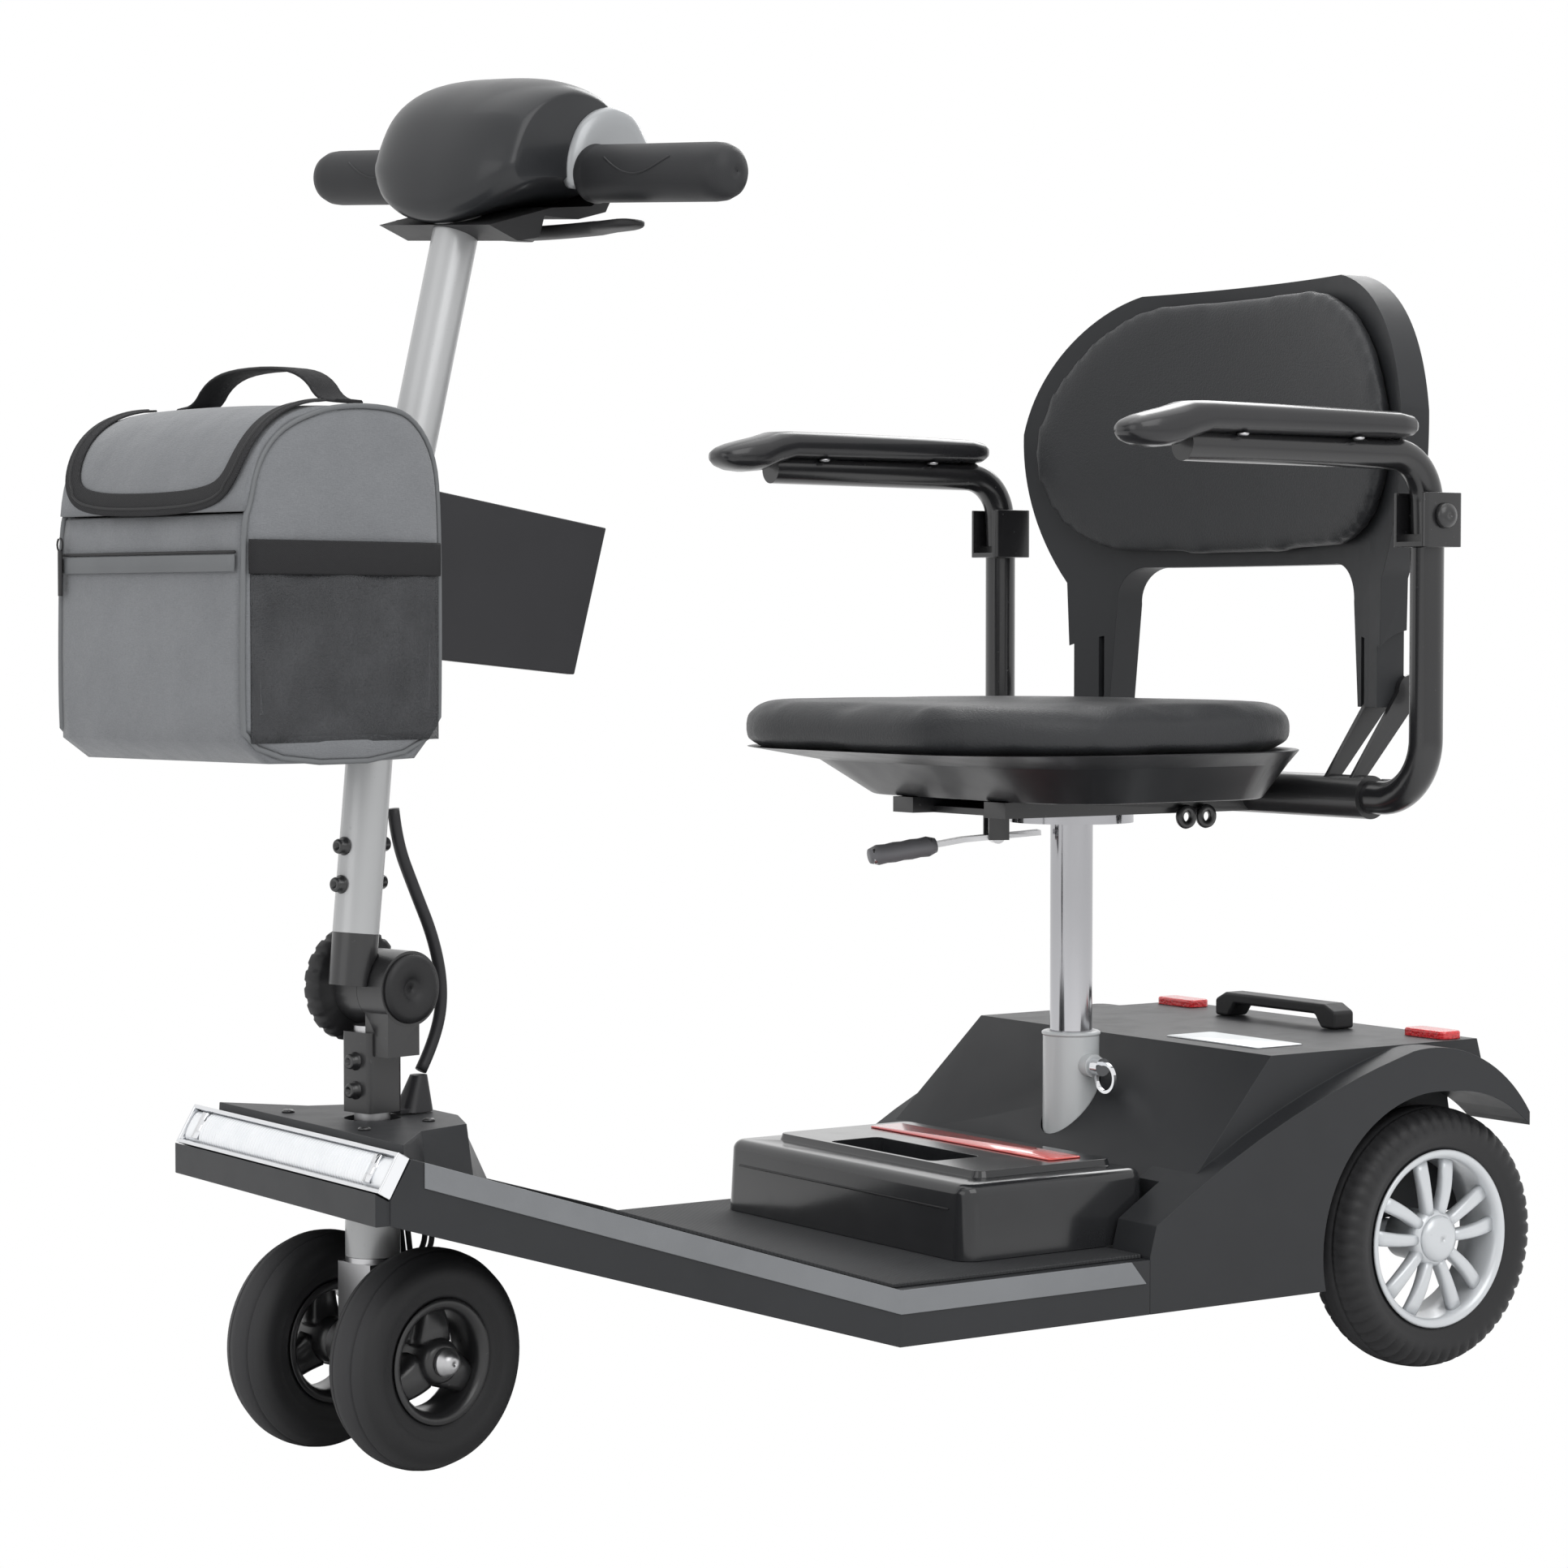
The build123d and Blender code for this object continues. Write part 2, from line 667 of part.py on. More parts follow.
# height, rear, front, half width and corner of the pan's outline, from its floor to its rim
pan_levels = [
    (pan_low, 110.0, 330.0, 142.0, 60.0),
    (seat_z - 11, 98.0, 372.0, 174.0, 85.0),
    (seat_z, pan_rear, pan_front, pan_half, 120.0),
]
with BuildPart() as seat_pan:
    for level, level_above in zip(pan_levels, pan_levels[1:]):
        for height, rear, front, half, corner in (level, level_above):
            with BuildSketch(plan.offset(height)):
                with Locations(((rear + front) / 2, 0)):
                    RectangleRounded(front - rear, 2 * half, corner)
        loft()
    for level, level_above in zip(pan_levels, pan_levels[1:]):
        for height, rear, front, half, corner in (level, level_above):
            with BuildSketch(plan.offset(height + pan_wall)):
                with Locations(((rear + front) / 2, 0)):
                    RectangleRounded(front - rear - 2 * pan_wall, 2 * (half - pan_wall), corner - pan_wall)
        loft(mode=Mode.SUBTRACT)
seat_pan.part.label = "seat_pan"
export_step(seat_pan.part, "parts/seat_pan.step")

cushion_lip = 10.0
with BuildPart() as seat_cushion:
    with BuildSketch(plan.offset(seat_z + seat_gap)):
        with Locations(((pan_rear + pan_front + cushion_lip) / 2, 0)):
            RectangleRounded(pan_front + cushion_lip - pan_rear, 2 * pan_half + cushion_lip, 122)
    extrude(amount=cushion_thick)
    fillet(seat_cushion.faces().sort_by(Axis.Z)[-1].edges(), 12)
    fillet(seat_cushion.faces().sort_by(Axis.Z)[0].edges(), 4)
seat_cushion.part.label = "seat_cushion"
export_step(seat_cushion.part, "parts/seat_cushion.step")

# ---- swivel release lever -----------------------------------------------------------------
with BuildPart() as swivel_lever:
    with BuildLine(lever_plane) as lever_path:
        Polyline((26, lever_z - 4), (86, lever_z - 9), (150, lever_z - 20))
    with BuildSketch(Plane(origin=lever_path.line @ 0, x_dir=lever_plane.z_dir, z_dir=lever_path.line % 0)):
        Rectangle(14, 4)
    sweep(path=lever_path.line, transition=Transition.RIGHT)
    with BuildLine(lever_plane) as grip_path:
        Line((112, lever_z - 13.5), (158, lever_z - 21.4))
    with BuildSketch(Plane(origin=grip_path.line @ 0, x_dir=lever_plane.z_dir, z_dir=grip_path.line % 0)):
        RectangleRounded(20, 12, 5)
    sweep(path=grip_path.line)
    with BuildSketch(lever_plane):
        with Locations((lever_pivot, lever_pin_z)):
            Circle(5.5)
    extrude(amount=7.6, both=True)
    with BuildSketch(lever_plane):
        with Locations((lever_pivot, lever_pin_z)):
            Circle(2 + running_gap)
    extrude(amount=12, both=True, mode=Mode.SUBTRACT)
swivel_lever.part.label = "swivel_lever"
export_step(swivel_lever.part, "parts/swivel_lever.step")

# ---- backrest -----------------------------------------------------------------------------
back_top = 845.0
back_curve_r = 520.0
shell_front = 31.0
shell_thick = 26.0
ear_slot_r = 47.0


with BuildPart() as backrest_shell:
    with BuildSketch(plan.offset(back_hinge_z - 12)):
        with Locations((shell_front + back_curve_r, 0)):
            Circle(back_curve_r + shell_thick)
            Circle(back_curve_r, mode=Mode.SUBTRACT)
        with Locations((shell_front + 20, 0)):
            Rectangle(160, 560, mode=Mode.INTERSECT)
    extrude(amount=back_top - back_hinge_z + 12)
    with BuildSketch(cross_plane(shell_front - 60)):
        with BuildLine():
            Line((-60, back_top), (60, back_top))
            ThreePointArc((60, back_top), (196, 800), (228, 735))
            ThreePointArc((228, 735), (218, 665), (190, 610))
            Line((190, 610), (186, back_hinge_z - 12))
            Line((186, back_hinge_z - 12), (150, back_hinge_z - 12))
            Line((150, back_hinge_z - 12), (143, 592))
            ThreePointArc((143, 592), (135, 614), (112, 622))
            Line((112, 622), (-112, 622))
            ThreePointArc((-112, 622), (-135, 614), (-143, 592))
            Line((-143, 592), (-150, back_hinge_z - 12))
            Line((-150, back_hinge_z - 12), (-186, back_hinge_z - 12))
            Line((-186, back_hinge_z - 12), (-190, 610))
            ThreePointArc((-190, 610), (-218, 665), (-228, 735))
            ThreePointArc((-228, 735), (-196, 800), (-60, back_top))
        make_face()
    extrude(amount=160, mode=Mode.INTERSECT)
    # slots for the ears and holes for their bolts
    for ear_side in (-1, 1):
        for ear_shift in (-14, 14):
            with BuildSketch(side.offset(-(ear_side * ear_y + ear_shift))):
                with Locations((back_hinge_x, back_hinge_z)):
                    Circle(ear_slot_r)
            extrude(amount=2.5, both=True, mode=Mode.SUBTRACT)
        with BuildSketch(side.offset(-(ear_side * ear_y + 20))):
            with Locations((back_hinge_x, back_hinge_z)):
                Circle(5 + running_gap)
        extrude(amount=40, mode=Mode.SUBTRACT)
backrest_shell.part.label = "backrest_shell"
export_step(backrest_shell.part, "parts/backrest_shell.step")

pad_thick = 15.0
pad_curve_r = back_curve_r - seat_gap
with BuildPart() as backrest_pad:
    with BuildSketch(plan.offset(629)):
        with Locations((shell_front + back_curve_r, 0)):
            Circle(pad_curve_r)
            Circle(pad_curve_r - pad_thick, mode=Mode.SUBTRACT)
        with Locations((shell_front + 20, 0)):
            Rectangle(160, 560, mode=Mode.INTERSECT)
    extrude(amount=838 - 629)
    with BuildSketch(cross_plane(shell_front - 60)):
        with BuildLine():
            Line((-50, 838), (50, 838))
            ThreePointArc((50, 838), (178, 795), (212, 730))
            ThreePointArc((212, 730), (196, 668), (120, 632))
            ThreePointArc((120, 632), (0, 628), (-120, 632))
            ThreePointArc((-120, 632), (-196, 668), (-212, 730))
            ThreePointArc((-212, 730), (-178, 795), (-50, 838))
        make_face()
    extrude(amount=160, mode=Mode.INTERSECT)
backrest_pad.part.label = "backrest_pad"
export_step(backrest_pad.part, "parts/backrest_pad.step")

# ---- arms ---------------------------------------------------------------------------------
arm_bend = 46.0
arm_inner = 60.0
bracket_low = 632.0
bracket_high = 672.0
upper_top = 700.0
pad_rear = 107.0
pad_drop = 200.0  # where the underside starts to droop at the front
for hand, name in ((1, "left"), (-1, "right")):
    arm_plane = Plane(origin=chassis_point(arm_x, 0, 0), x_dir=(0, hand, 0), z_dir=(hand, 0, 0))
    with BuildPart() as arm_slide:
        with BuildLine(arm_plane) as arm_path:
            FilletPolyline(
                (arm_inner, receiver_z),
                (arm_half, receiver_z),
                (arm_half, bracket_low + 6),
                radius=arm_bend,
            )
        with BuildSketch(Plane(origin=arm_path.line @ 0, z_dir=arm_path.line % 0)):
            Circle(arm_r)
            Circle(arm_r - 2, mode=Mode.SUBTRACT)
        sweep(path=arm_path.line)
        # fork at the top that carries the flip-up arm
        with BuildSketch(plan.offset(bracket_low)):
            with Locations((arm_x, hand * arm_half)):
                RectangleRounded(38, 36, 4)
        extrude(amount=bracket_high - bracket_low)
        with BuildSketch(plan.offset(bracket_low + 4)):
            with Locations((arm_x + 14, hand * arm_half)):
                Rectangle(80, 2 * arm_r + 0.8)
        extrude(amount=60, mode=Mode.SUBTRACT)
        with BuildSketch(side.offset(-hand * arm_half)):
            with Locations((arm_x, arm_pivot_z)):
                Circle(4)
        extrude(amount=arm_r + 3, both=True)
    arm_slide.part.label = "arm_slide_" + name
    export_step(arm_slide.part, "parts/arm_slide_" + name + ".step")

    with BuildPart() as armrest:
        with BuildLine(side.offset(-hand * arm_half)) as rest_path:
            FilletPolyline(
                (arm_x, bracket_low + 10), (arm_x + 2, upper_top), (arm_x + 236, upper_top + 2), radius=36
            )
        with BuildSketch(Plane(origin=rest_path.line @ 0, z_dir=rest_path.line % 0)):
            Circle(arm_r - 0.5)
        sweep(path=rest_path.line)
        with BuildSketch(side.offset(-hand * arm_half)):
            with Locations((arm_x, arm_pivot_z)):
                Circle(4 + running_gap)
        extrude(amount=arm_r + 4, both=True, mode=Mode.SUBTRACT)
    armrest.part.label = "armrest_" + name
    export_step(armrest.part, "parts/armrest_" + name + ".step")

    with BuildPart() as arm_pad:
        with BuildSketch(side.offset(-hand * arm_half)):
            with BuildLine():
                Line((pad_rear, upper_top + 17), (pad_rear + 8, upper_top + 10))
                Line((pad_rear + 8, upper_top + 10), (pad_rear + pad_drop, upper_top + 10))
                Line((pad_rear + pad_drop, upper_top + 10), (pad_rear + 224, upper_top - 2))
                Line((pad_rear + 224, upper_top - 2), (pad_rear + 258, upper_top))
                ThreePointArc(
                    (pad_rear + 258, upper_top),
                    (pad_rear + 269, upper_top + 12),
                    (pad_rear + 256, upper_top + 21),
                )
                Line((pad_rear + 256, upper_top + 21), (pad_rear + 212, upper_top + 33))
                Line((pad_rear + 212, upper_top + 33), (pad_rear + 8, upper_top + 30))
                Line((pad_rear + 8, upper_top + 30), (pad_rear, upper_top + 17))
            make_face()
        extrude(amount=21, both=True)
        with BuildLine(side.offset(-hand * arm_half)) as groove_path:
            Line((pad_rear - 10, upper_top), (arm_x + 240, upper_top + 2.1))
        with BuildSketch(Plane(origin=groove_path.line @ 0, z_dir=groove_path.line % 0)):
            Circle(arm_r - 0.5 + 0.15)
        sweep(path=groove_path.line, mode=Mode.SUBTRACT)
    arm_pad.part.label = "arm_pad_" + name
    export_step(arm_pad.part, "parts/arm_pad_" + name + ".step")

with BuildPart() as clamp_bolts:
    for hand in (-1, 1):
        bolt_at = chassis_point(receiver_x, hand * 180, receiver_z)
        bolt_plane = Plane(origin=bolt_at, x_dir=(0, 1, 0), z_dir=(-1, 0, 0))
        with BuildSketch(bolt_plane.offset(arm_r + 4 + 0.1)):
            Circle(6)
        extrude(amount=8)
        with BuildSketch(bolt_plane.offset(arm_r + 8)):
            RegularPolygon(11, 6)
        extrude(amount=8)
clamp_bolts.part.label = "clamp_bolts"
export_step(clamp_bolts.part, "parts/clamp_bolts.step")

# ---- rear wheels --------------------------------------------------------------------------
rear_rim_r = 66.0
for hand, name in ((1, "left"), (-1, "right")):
    hub = chassis_point(0, hand * rear_track / 2, rear_tyre_r)
    outward = Vector(0, hand, 0)
    section = wheel_plane(hub, outward)
    half_width = rear_tyre_width / 2
    with BuildPart() as rear_tyre:
        with BuildSketch(section):
            with BuildLine():
                Polyline((rear_rim_r, -18), (69.5, -18))
                ThreePointArc((69.5, -18), (82, -half_width), (94, -half_width + 2))
                ThreePointArc((94, -half_width + 2), (rear_tyre_r, 0), (94, half_width - 2))
                ThreePointArc((94, half_width - 2), (82, half_width), (69.5, 18))
                Polyline((69.5, 18), (rear_rim_r, 18), (rear_rim_r, -18))
            make_face()
        revolve(axis=Axis(hub, outward))
    rear_tyre.part.label = "rear_tyre_" + name
    export_step(rear_tyre.part, "parts/rear_tyre_" + name + ".step")

    with BuildPart() as rear_rim:
        with BuildSketch(section):
            with BuildLine():
                Polyline(
                    (58, -21), (68.6, -21), (68.6, -18.3), (rear_rim_r - 0.1, -18.3),
                    (rear_rim_r - 0.1, 18.3), (68.6, 18.3), (68.6, 21), (61, 21), (61, 12), (58, 8),
                    close=True,
                )
            make_face()
            with BuildLine():
                Polyline((0, -20), (20, -20), (22, 18), (16, 24), (0, 25), close=True)
            make_face()
            with BuildLine():
                shaft_end = -(rear_track / 2 - 12)
                Polyline((0, shaft_end), (axle_r, shaft_end), (axle_r, -19), (0, -19), close=True)
            make_face()
        revolve(axis=Axis(hub, outward))
        face_plane = Plane(origin=hub + outward * 7, x_dir=up, z_dir=outward)
        with BuildSketch(face_plane):
            for pair in range(5):
                for lean in (-13, 13):
                    with PolarLocations(0, 1, start_angle=72 * pair + lean):
                        with Locations((40, 0)):
                            Rectangle(42, 8.5)
        extrude(amount=9)
    rear_rim.part.label = "rear_rim_" + name
    export_step(rear_rim.part, "parts/rear_rim_" + name + ".step")

# ---- front axle, wheels, stem -------------------------------------------------------------
front_axle_r = 6.0
sleeve_half = 31.0
with BuildPart() as steering_stem:
    with BuildSketch(steer_plan.offset(front_tyre_r)):
        Circle(stem_r)
    extrude(amount=300 - front_tyre_r)
    with BuildSketch(steer_plan.offset(front_tyre_r)):
        Rectangle(34, 34)
    extrude(amount=head_low - 4 - front_tyre_r)
    with BuildSketch(steer_plan.offset(head_low - 4)):
        Circle(head_tube_r)
    extrude(amount=4 - seat_gap)
    with BuildSketch(steer_side):
        with Locations((0, front_tyre_r)):
            Circle(17)
    extrude(amount=sleeve_half, both=True)
    with BuildSketch(steer_side):
        with Locations((0, front_tyre_r)):
            Circle(front_axle_r + 0.02)
    extrude(amount=sleeve_half + 1, both=True, mode=Mode.SUBTRACT)
    with BuildSketch(steer_side):
        with Locations((0, front_tyre_r + 44)):
            Circle(7)
    extrude(amount=22, both=True)
steering_stem.part.label = "steering_stem"
export_step(steering_stem.part, "parts/steering_stem.step")

with BuildPart() as front_axle:
    with BuildSketch(steer_side):
        with Locations((0, front_tyre_r)):
            Circle(front_axle_r)
    extrude(amount=front_track / 2 + 20, both=True)
front_axle.part.label = "front_axle"
export_step(front_axle.part, "parts/front_axle.step")

front_rim_r = 40.0
for hand, name in ((1, "left"), (-1, "right")):
    hub = steered(0, hand * front_track / 2, front_tyre_r)
    outward = steer_left * hand
    section = wheel_plane(hub, outward)
    half_width = front_tyre_width / 2
    with BuildPart() as front_tyre:
        with BuildSketch(section):
            with BuildLine():
                Polyline((front_rim_r, -15), (43, -16))
                ThreePointArc((43, -16), (58, -half_width), (69, -half_width + 2.5))
                ThreePointArc((69, -half_width + 2.5), (front_tyre_r, 0), (69, half_width - 2.5))
                ThreePointArc((69, half_width - 2.5), (58, half_width), (43, 16))
                Polyline((43, 16), (front_rim_r, 15), (front_rim_r, -15))
            make_face()
        revolve(axis=Axis(hub, outward))
    front_tyre.part.label = "front_tyre_" + name
    export_step(front_tyre.part, "parts/front_tyre_" + name + ".step")

    with BuildPart() as front_rim:
        with BuildSketch(section):
            with BuildLine():
                Polyline((34, -15), (front_rim_r - 0.1, -15), (front_rim_r - 0.1, 15), (34, 15), close=True)
            make_face()
            with BuildLine():
                inner_r = front_axle_r + running_gap
                Polyline(
                    (inner_r, -23), (14, -23), (16, -12), (16, 20), (13, 29), (0, 30), (0, 24),
                    (inner_r, 24), close=True,
                )
            make_face()
        revolve(axis=Axis(hub, outward))
        face_plane = Plane(origin=hub - outward * 5, x_dir=up, z_dir=outward)
        with BuildSketch(face_plane):
            for spoke in range(3):
                with PolarLocations(0, 1, start_angle=120 * spoke):
                    with Locations((25, 0)):
                        Rectangle(22, 20)
        extrude(amount=12)
    front_rim.part.label = "front_rim_" + name
    export_step(front_rim.part, "parts/front_rim_" + name + ".step")

# ---- lower steering post and fold hinge ---------------------------------------------------
post_low = 240.5
post_side = 30.0
split_y = 4.0  # left of this the lower hinge half, right of it the upper one
barrel_left = 30.0
barrel_right = 20.0
pivot_r = 6.0
boot_x = -37.0
boot_top = 262.0
with BuildPart() as steering_post:
    with BuildSketch(steer_plan.offset(post_low)):
        RectangleRounded(post_side, post_side, 4)
    extrude(amount=296 - post_low)
    with BuildSketch(steer_plan.offset(280)):
        with Locations((-3, (split_y + barrel_left - 2) / 2 + 2)):
            Rectangle(28, barrel_left - 2 - split_y)
    extrude(amount=hinge_z - 280)
    with BuildSketch(steer_side.offset(-split_y - 0.15)):
        with Locations((hinge_x, hinge_z)):
            Circle(barrel_r)
    extrude(amount=-(barrel_left - split_y))
    with BuildSketch(steer_plan.offset(post_low - 10)):
        Circle(stem_r + 0.05)
    extrude(amount=300.3 - post_low + 10, mode=Mode.SUBTRACT)
    with BuildSketch(steer_side):
        with Locations((hinge_x, hinge_z)):
            Circle(pivot_r + running_gap)
    extrude(amount=barrel_left - 4, both=True, mode=Mode.SUBTRACT)
steering_post.part.label = "steering_post"
export_step(steering_post.part, "parts/steering_post.step")

with BuildPart() as cable_boot:
    with BuildSketch(steer_plan.offset(237.0)):
        with Locations((boot_x, 0)):
            RectangleRounded(26, 22, 8)
    with BuildSketch(steer_plan.offset(boot_top)):
        with Locations((boot_x - 5, 0)):
            Circle(6)
    loft()
    with BuildSketch(steer_plan.offset(237.0)):
        with Locations((boot_x + 10, 0)):
            Rectangle(17, 16)
    extrude(amount=3)
cable_boot.part.label = "cable_boot"
export_step(cable_boot.part, "parts/cable_boot.step")

knob_face = 24.0
with BuildPart() as fold_knob:
    with BuildSketch(steer_side.offset(knob_face)):
        with Locations((hinge_x, hinge_z)):
            Circle(40)
    extrude(amount=14)
    chamfer(fold_knob.faces().filter_by(GeomType.PLANE).edges(), 2)
    with BuildSketch(steer_side.offset(barrel_right + 0.3)):
        with Locations((hinge_x, hinge_z)):
            Circle(20)
    extrude(amount=knob_face - barrel_right)
    with BuildSketch(steer_side.offset(-(barrel_left - 5))):
        with Locations((hinge_x, hinge_z)):
            Circle(pivot_r)
    extrude(amount=barrel_left + barrel_right)
fold_knob.part.label = "fold_knob"
export_step(fold_knob.part, "parts/fold_knob.step")

# ---- tiller -------------------------------------------------------------------------------
tube_route = [(14, 364), (-10, 590), (-83, 862)]
tube_bend = 420.0
with BuildPart() as tiller_tube:
    with BuildLine(steer_side) as tube_path:
        FilletPolyline(*tube_route, radius=tube_bend)
    with BuildSketch(Plane(origin=tube_path.line @ 0, z_dir=tube_path.line % 0)):
        Circle(tube_r)
        Circle(tube_r - tube_wall, mode=Mode.SUBTRACT)
    sweep(path=tube_path.line)
tiller_tube.part.label = "tiller_tube"
export_step(tiller_tube.part, "parts/tiller_tube.step")

with BuildPart() as tiller_socket:
    with BuildSketch(steer_side.offset(-split_y + 0.15)):
        with Locations((hinge_x, hinge_z)):
            Circle(barrel_r)
    extrude(amount=barrel_right + split_y - 0.15)
    socket_line = Vector(*tube_route[1]) - Vector(*tube_route[0])
    socket_line = socket_line.normalized()
    neck_foot = Vector(*tube_route[0]) - socket_line * 36
    with BuildLine(steer_side) as neck_path:
        Line((neck_foot.X, neck_foot.Y), (tube_route[0][0], tube_route[0][1] - 0.1))
    with BuildSketch(Plane(origin=neck_path.line @ 0, z_dir=neck_path.line % 0)):
        Circle(tube_r)
    sweep(path=neck_path.line)
    with BuildSketch(steer_side.offset(-split_y + 0.15)):
        with Locations((hinge_x, hinge_z)):
            Circle(barrel_r + 1)
    extrude(amount=-60, mode=Mode.SUBTRACT)
    with BuildLine(steer_side) as spigot_path:
        Line(
            (neck_foot.X + socket_line.X * 20, neck_foot.Y + socket_line.Y * 20),
            (tube_route[0][0] + socket_line.X * 40, tube_route[0][1] + socket_line.Y * 40),
        )
    with BuildSketch(Plane(origin=spigot_path.line @ 0, z_dir=spigot_path.line % 0)):
        Circle(tube_r - tube_wall - 0.05)
    sweep(path=spigot_path.line)
    with BuildSketch(steer_side.offset(-split_y + 0.15)):
        with Locations((hinge_x, hinge_z)):
            Circle(barrel_r + 1)
    extrude(amount=-60, mode=Mode.SUBTRACT)
    with BuildSketch(steer_side):
        with Locations((hinge_x, hinge_z)):
            Circle(pivot_r + running_gap)
    extrude(amount=60, both=True, mode=Mode.SUBTRACT)
tiller_socket.part.label = "tiller_socket"
export_step(tiller_socket.part, "parts/tiller_socket.step")

cable_r = 4.25
cable_route = [
    (-20, 448), (-23, 425), (-38, 393), (-57, 355), (-65, 318), (-58, 286), (-44, boot_top + 2.6)
]
cable_radii = corner_radii(cable_route)
print("cable radii", [round(r, 1) for r in cable_radii])
with BuildPart() as tiller_cable:
    with BuildLine(steer_side) as cable_path:
        FilletPolyline(*cable_route, radius=cable_radii)
    with BuildSketch(Plane(origin=cable_path.line @ 0, z_dir=cable_path.line % 0)):
        Circle(cable_r)
    sweep(path=cable_path.line)
cable_length = sum(edge.length for edge in cable_path.edges())
cable_fill = tiller_cable.part.volume / (pi * cable_r**2 * cable_length)
print("cable length", round(cable_length, 1), "volume ratio", round(cable_fill, 3))
tiller_cable.part.label = "tiller_cable"
export_step(tiller_cable.part, "parts/tiller_cable.step")

# ---- handlebar and control head -----------------------------------------------------------
head_centre = steered(head_x, 0, bar_z)
bar_left = steer_left * cos(radians(bar_roll)) - up * sin(radians(bar_roll))
bar_up = steer_forward.cross(bar_left)
head_side = Plane(origin=head_centre, x_dir=steer_forward, z_dir=bar_left * -1)
bar_side = Plane(origin=head_centre - steer_forward * bar_setback, x_dir=steer_forward, z_dir=bar_left * -1)
head_half = 80.0
shell_wall = 3.0
with BuildPart() as handlebar:
    with BuildSketch(bar_side):
        Circle(bar_r)
    extrude(amount=bar_half - 12, both=True)
handlebar.part.label = "handlebar"
export_step(handlebar.part, "parts/handlebar.step")

with BuildPart() as hand_grips:
    for hand in (-1, 1):
        with BuildSketch(bar_side.offset(hand * (head_half + 4))):
            Circle(grip_r)
        extrude(amount=hand * (bar_half - head_half - 4))
    fillet(hand_grips.edges().sort_by(Axis(head_centre, bar_left))[0], grip_r - 4)
    fillet(hand_grips.edges().sort_by(Axis(head_centre, bar_left))[-1], grip_r - 4)
    with BuildSketch(bar_side):
        Circle(bar_r + 0.02)
    extrude(amount=bar_half - 12, both=True, mode=Mode.SUBTRACT)
hand_grips.part.label = "hand_grips"
export_step(hand_grips.part, "parts/hand_grips.step")

split_points = [(-64, 2), (-34, -20), (4, -24), (62, -40)]
with BuildPart() as head_shell:
    with BuildSketch(head_side):
        with BuildLine():
            Line((62, -40), (70, -12))
            ThreePointArc((70, -12), (52, 38), (6, 64))
            Line((6, 64), (-38, 55))
            Line((-38, 55), (-70, 14))
            Line((-70, 14), split_points[0])
            Polyline(*split_points)
        make_face()
    extrude(amount=head_half, both=True, taper=6)
    with BuildSketch(head_side):
        Polygon(
            (60, -34), (66, -12), (50, 30), (6, 58), (-36, 50), (-64, 12), (-60, 4), (-34, -14), (4, -18),
            align=None,
        )
    extrude(amount=head_half - 5, both=True, taper=6, mode=Mode.SUBTRACT)
    with BuildSketch(bar_side):
        Circle(bar_r + 0.3)
    extrude(amount=head_half + 10, both=True, mode=Mode.SUBTRACT)
    # the tube comes up through the floor of the shell
    with BuildLine(steer_side) as tube_clear:
        Line((tube_route[1][0], tube_route[1][1]), (tube_route[2][0] * 1.06, tube_route[2][1] + 18.6))
    with BuildSketch(Plane(origin=tube_clear.line @ 0, z_dir=tube_clear.line % 0)):
        Circle(tube_r + 1)
    sweep(path=tube_clear.line, mode=Mode.SUBTRACT)
    # holes for the stems of the dial, the key and the horn button
    panel_normal = (steer_forward * -0.79 + bar_up * 0.62).normalized()
    panel_right = bar_left * -1
    panel_centre = head_centre + steer_forward * -54 + bar_up * 34.5
    panel = Plane(origin=panel_centre, x_dir=panel_right, z_dir=panel_normal)
    control_places = {"speed_dial": (0, -6), "key": (-44, -8), "horn_button": (44, -8)}
    stem_size = {"speed_dial": 4.0, "key": 3.5, "horn_button": 3.0}
    for control, place in control_places.items():
        with BuildSketch(panel.offset(12)):
            with Locations(place):
                Circle(stem_size[control] + running_gap)
        extrude(amount=-40, mode=Mode.SUBTRACT)
head_shell.part.label = "head_shell"
export_step(head_shell.part, "parts/head_shell.step")

lever_x = -18.0
lever_drop = 37.0
lever_thick = 9.0
lever_centre = head_centre + steer_forward * lever_x - bar_up * (lever_drop + lever_thick)
lever_top = Plane(origin=lever_centre, x_dir=steer_forward, z_dir=bar_up)
with BuildPart() as head_shroud:
    with BuildSketch(head_side):
        Polygon(
            (61, -41), (4, -25), (-34, -21), (-58, -5), (-48, -24), (-22, -31), (10, -31), (14, -46),
            (34, -50), align=None,
        )
    extrude(amount=58, both=True)
    with BuildLine(steer_side) as shroud_clear:
        Line((tube_route[1][0], tube_route[1][1]), (tube_route[2][0] * 1.06, tube_route[2][1] + 18.6))
    with BuildSketch(Plane(origin=shroud_clear.line @ 0, z_dir=shroud_clear.line % 0)):
        Circle(tube_r + 0.1)
    sweep(path=shroud_clear.line, mode=Mode.SUBTRACT)
    with BuildSketch(lever_top):
        Circle(4 + running_gap)
    extrude(amount=lever_thick + 9.5, mode=Mode.SUBTRACT)
head_shroud.part.label = "head_shroud"
export_step(head_shroud.part, "parts/head_shroud.step")

# ---- controls -----------------------------------------------------------------------------
with BuildPart() as throttle_lever:
    with BuildSketch(lever_top):
        Circle(13)
        Rectangle(17, 190)
        for hand in (-1, 1):
            with Locations((2, hand * 108)):
                RectangleRounded(24, 38, 9)
    extrude(amount=lever_thick)
    with BuildSketch(lever_top):
        Circle(4)
    extrude(amount=lever_thick + 9)
throttle_lever.part.label = "throttle_lever"
export_step(throttle_lever.part, "parts/throttle_lever.step")

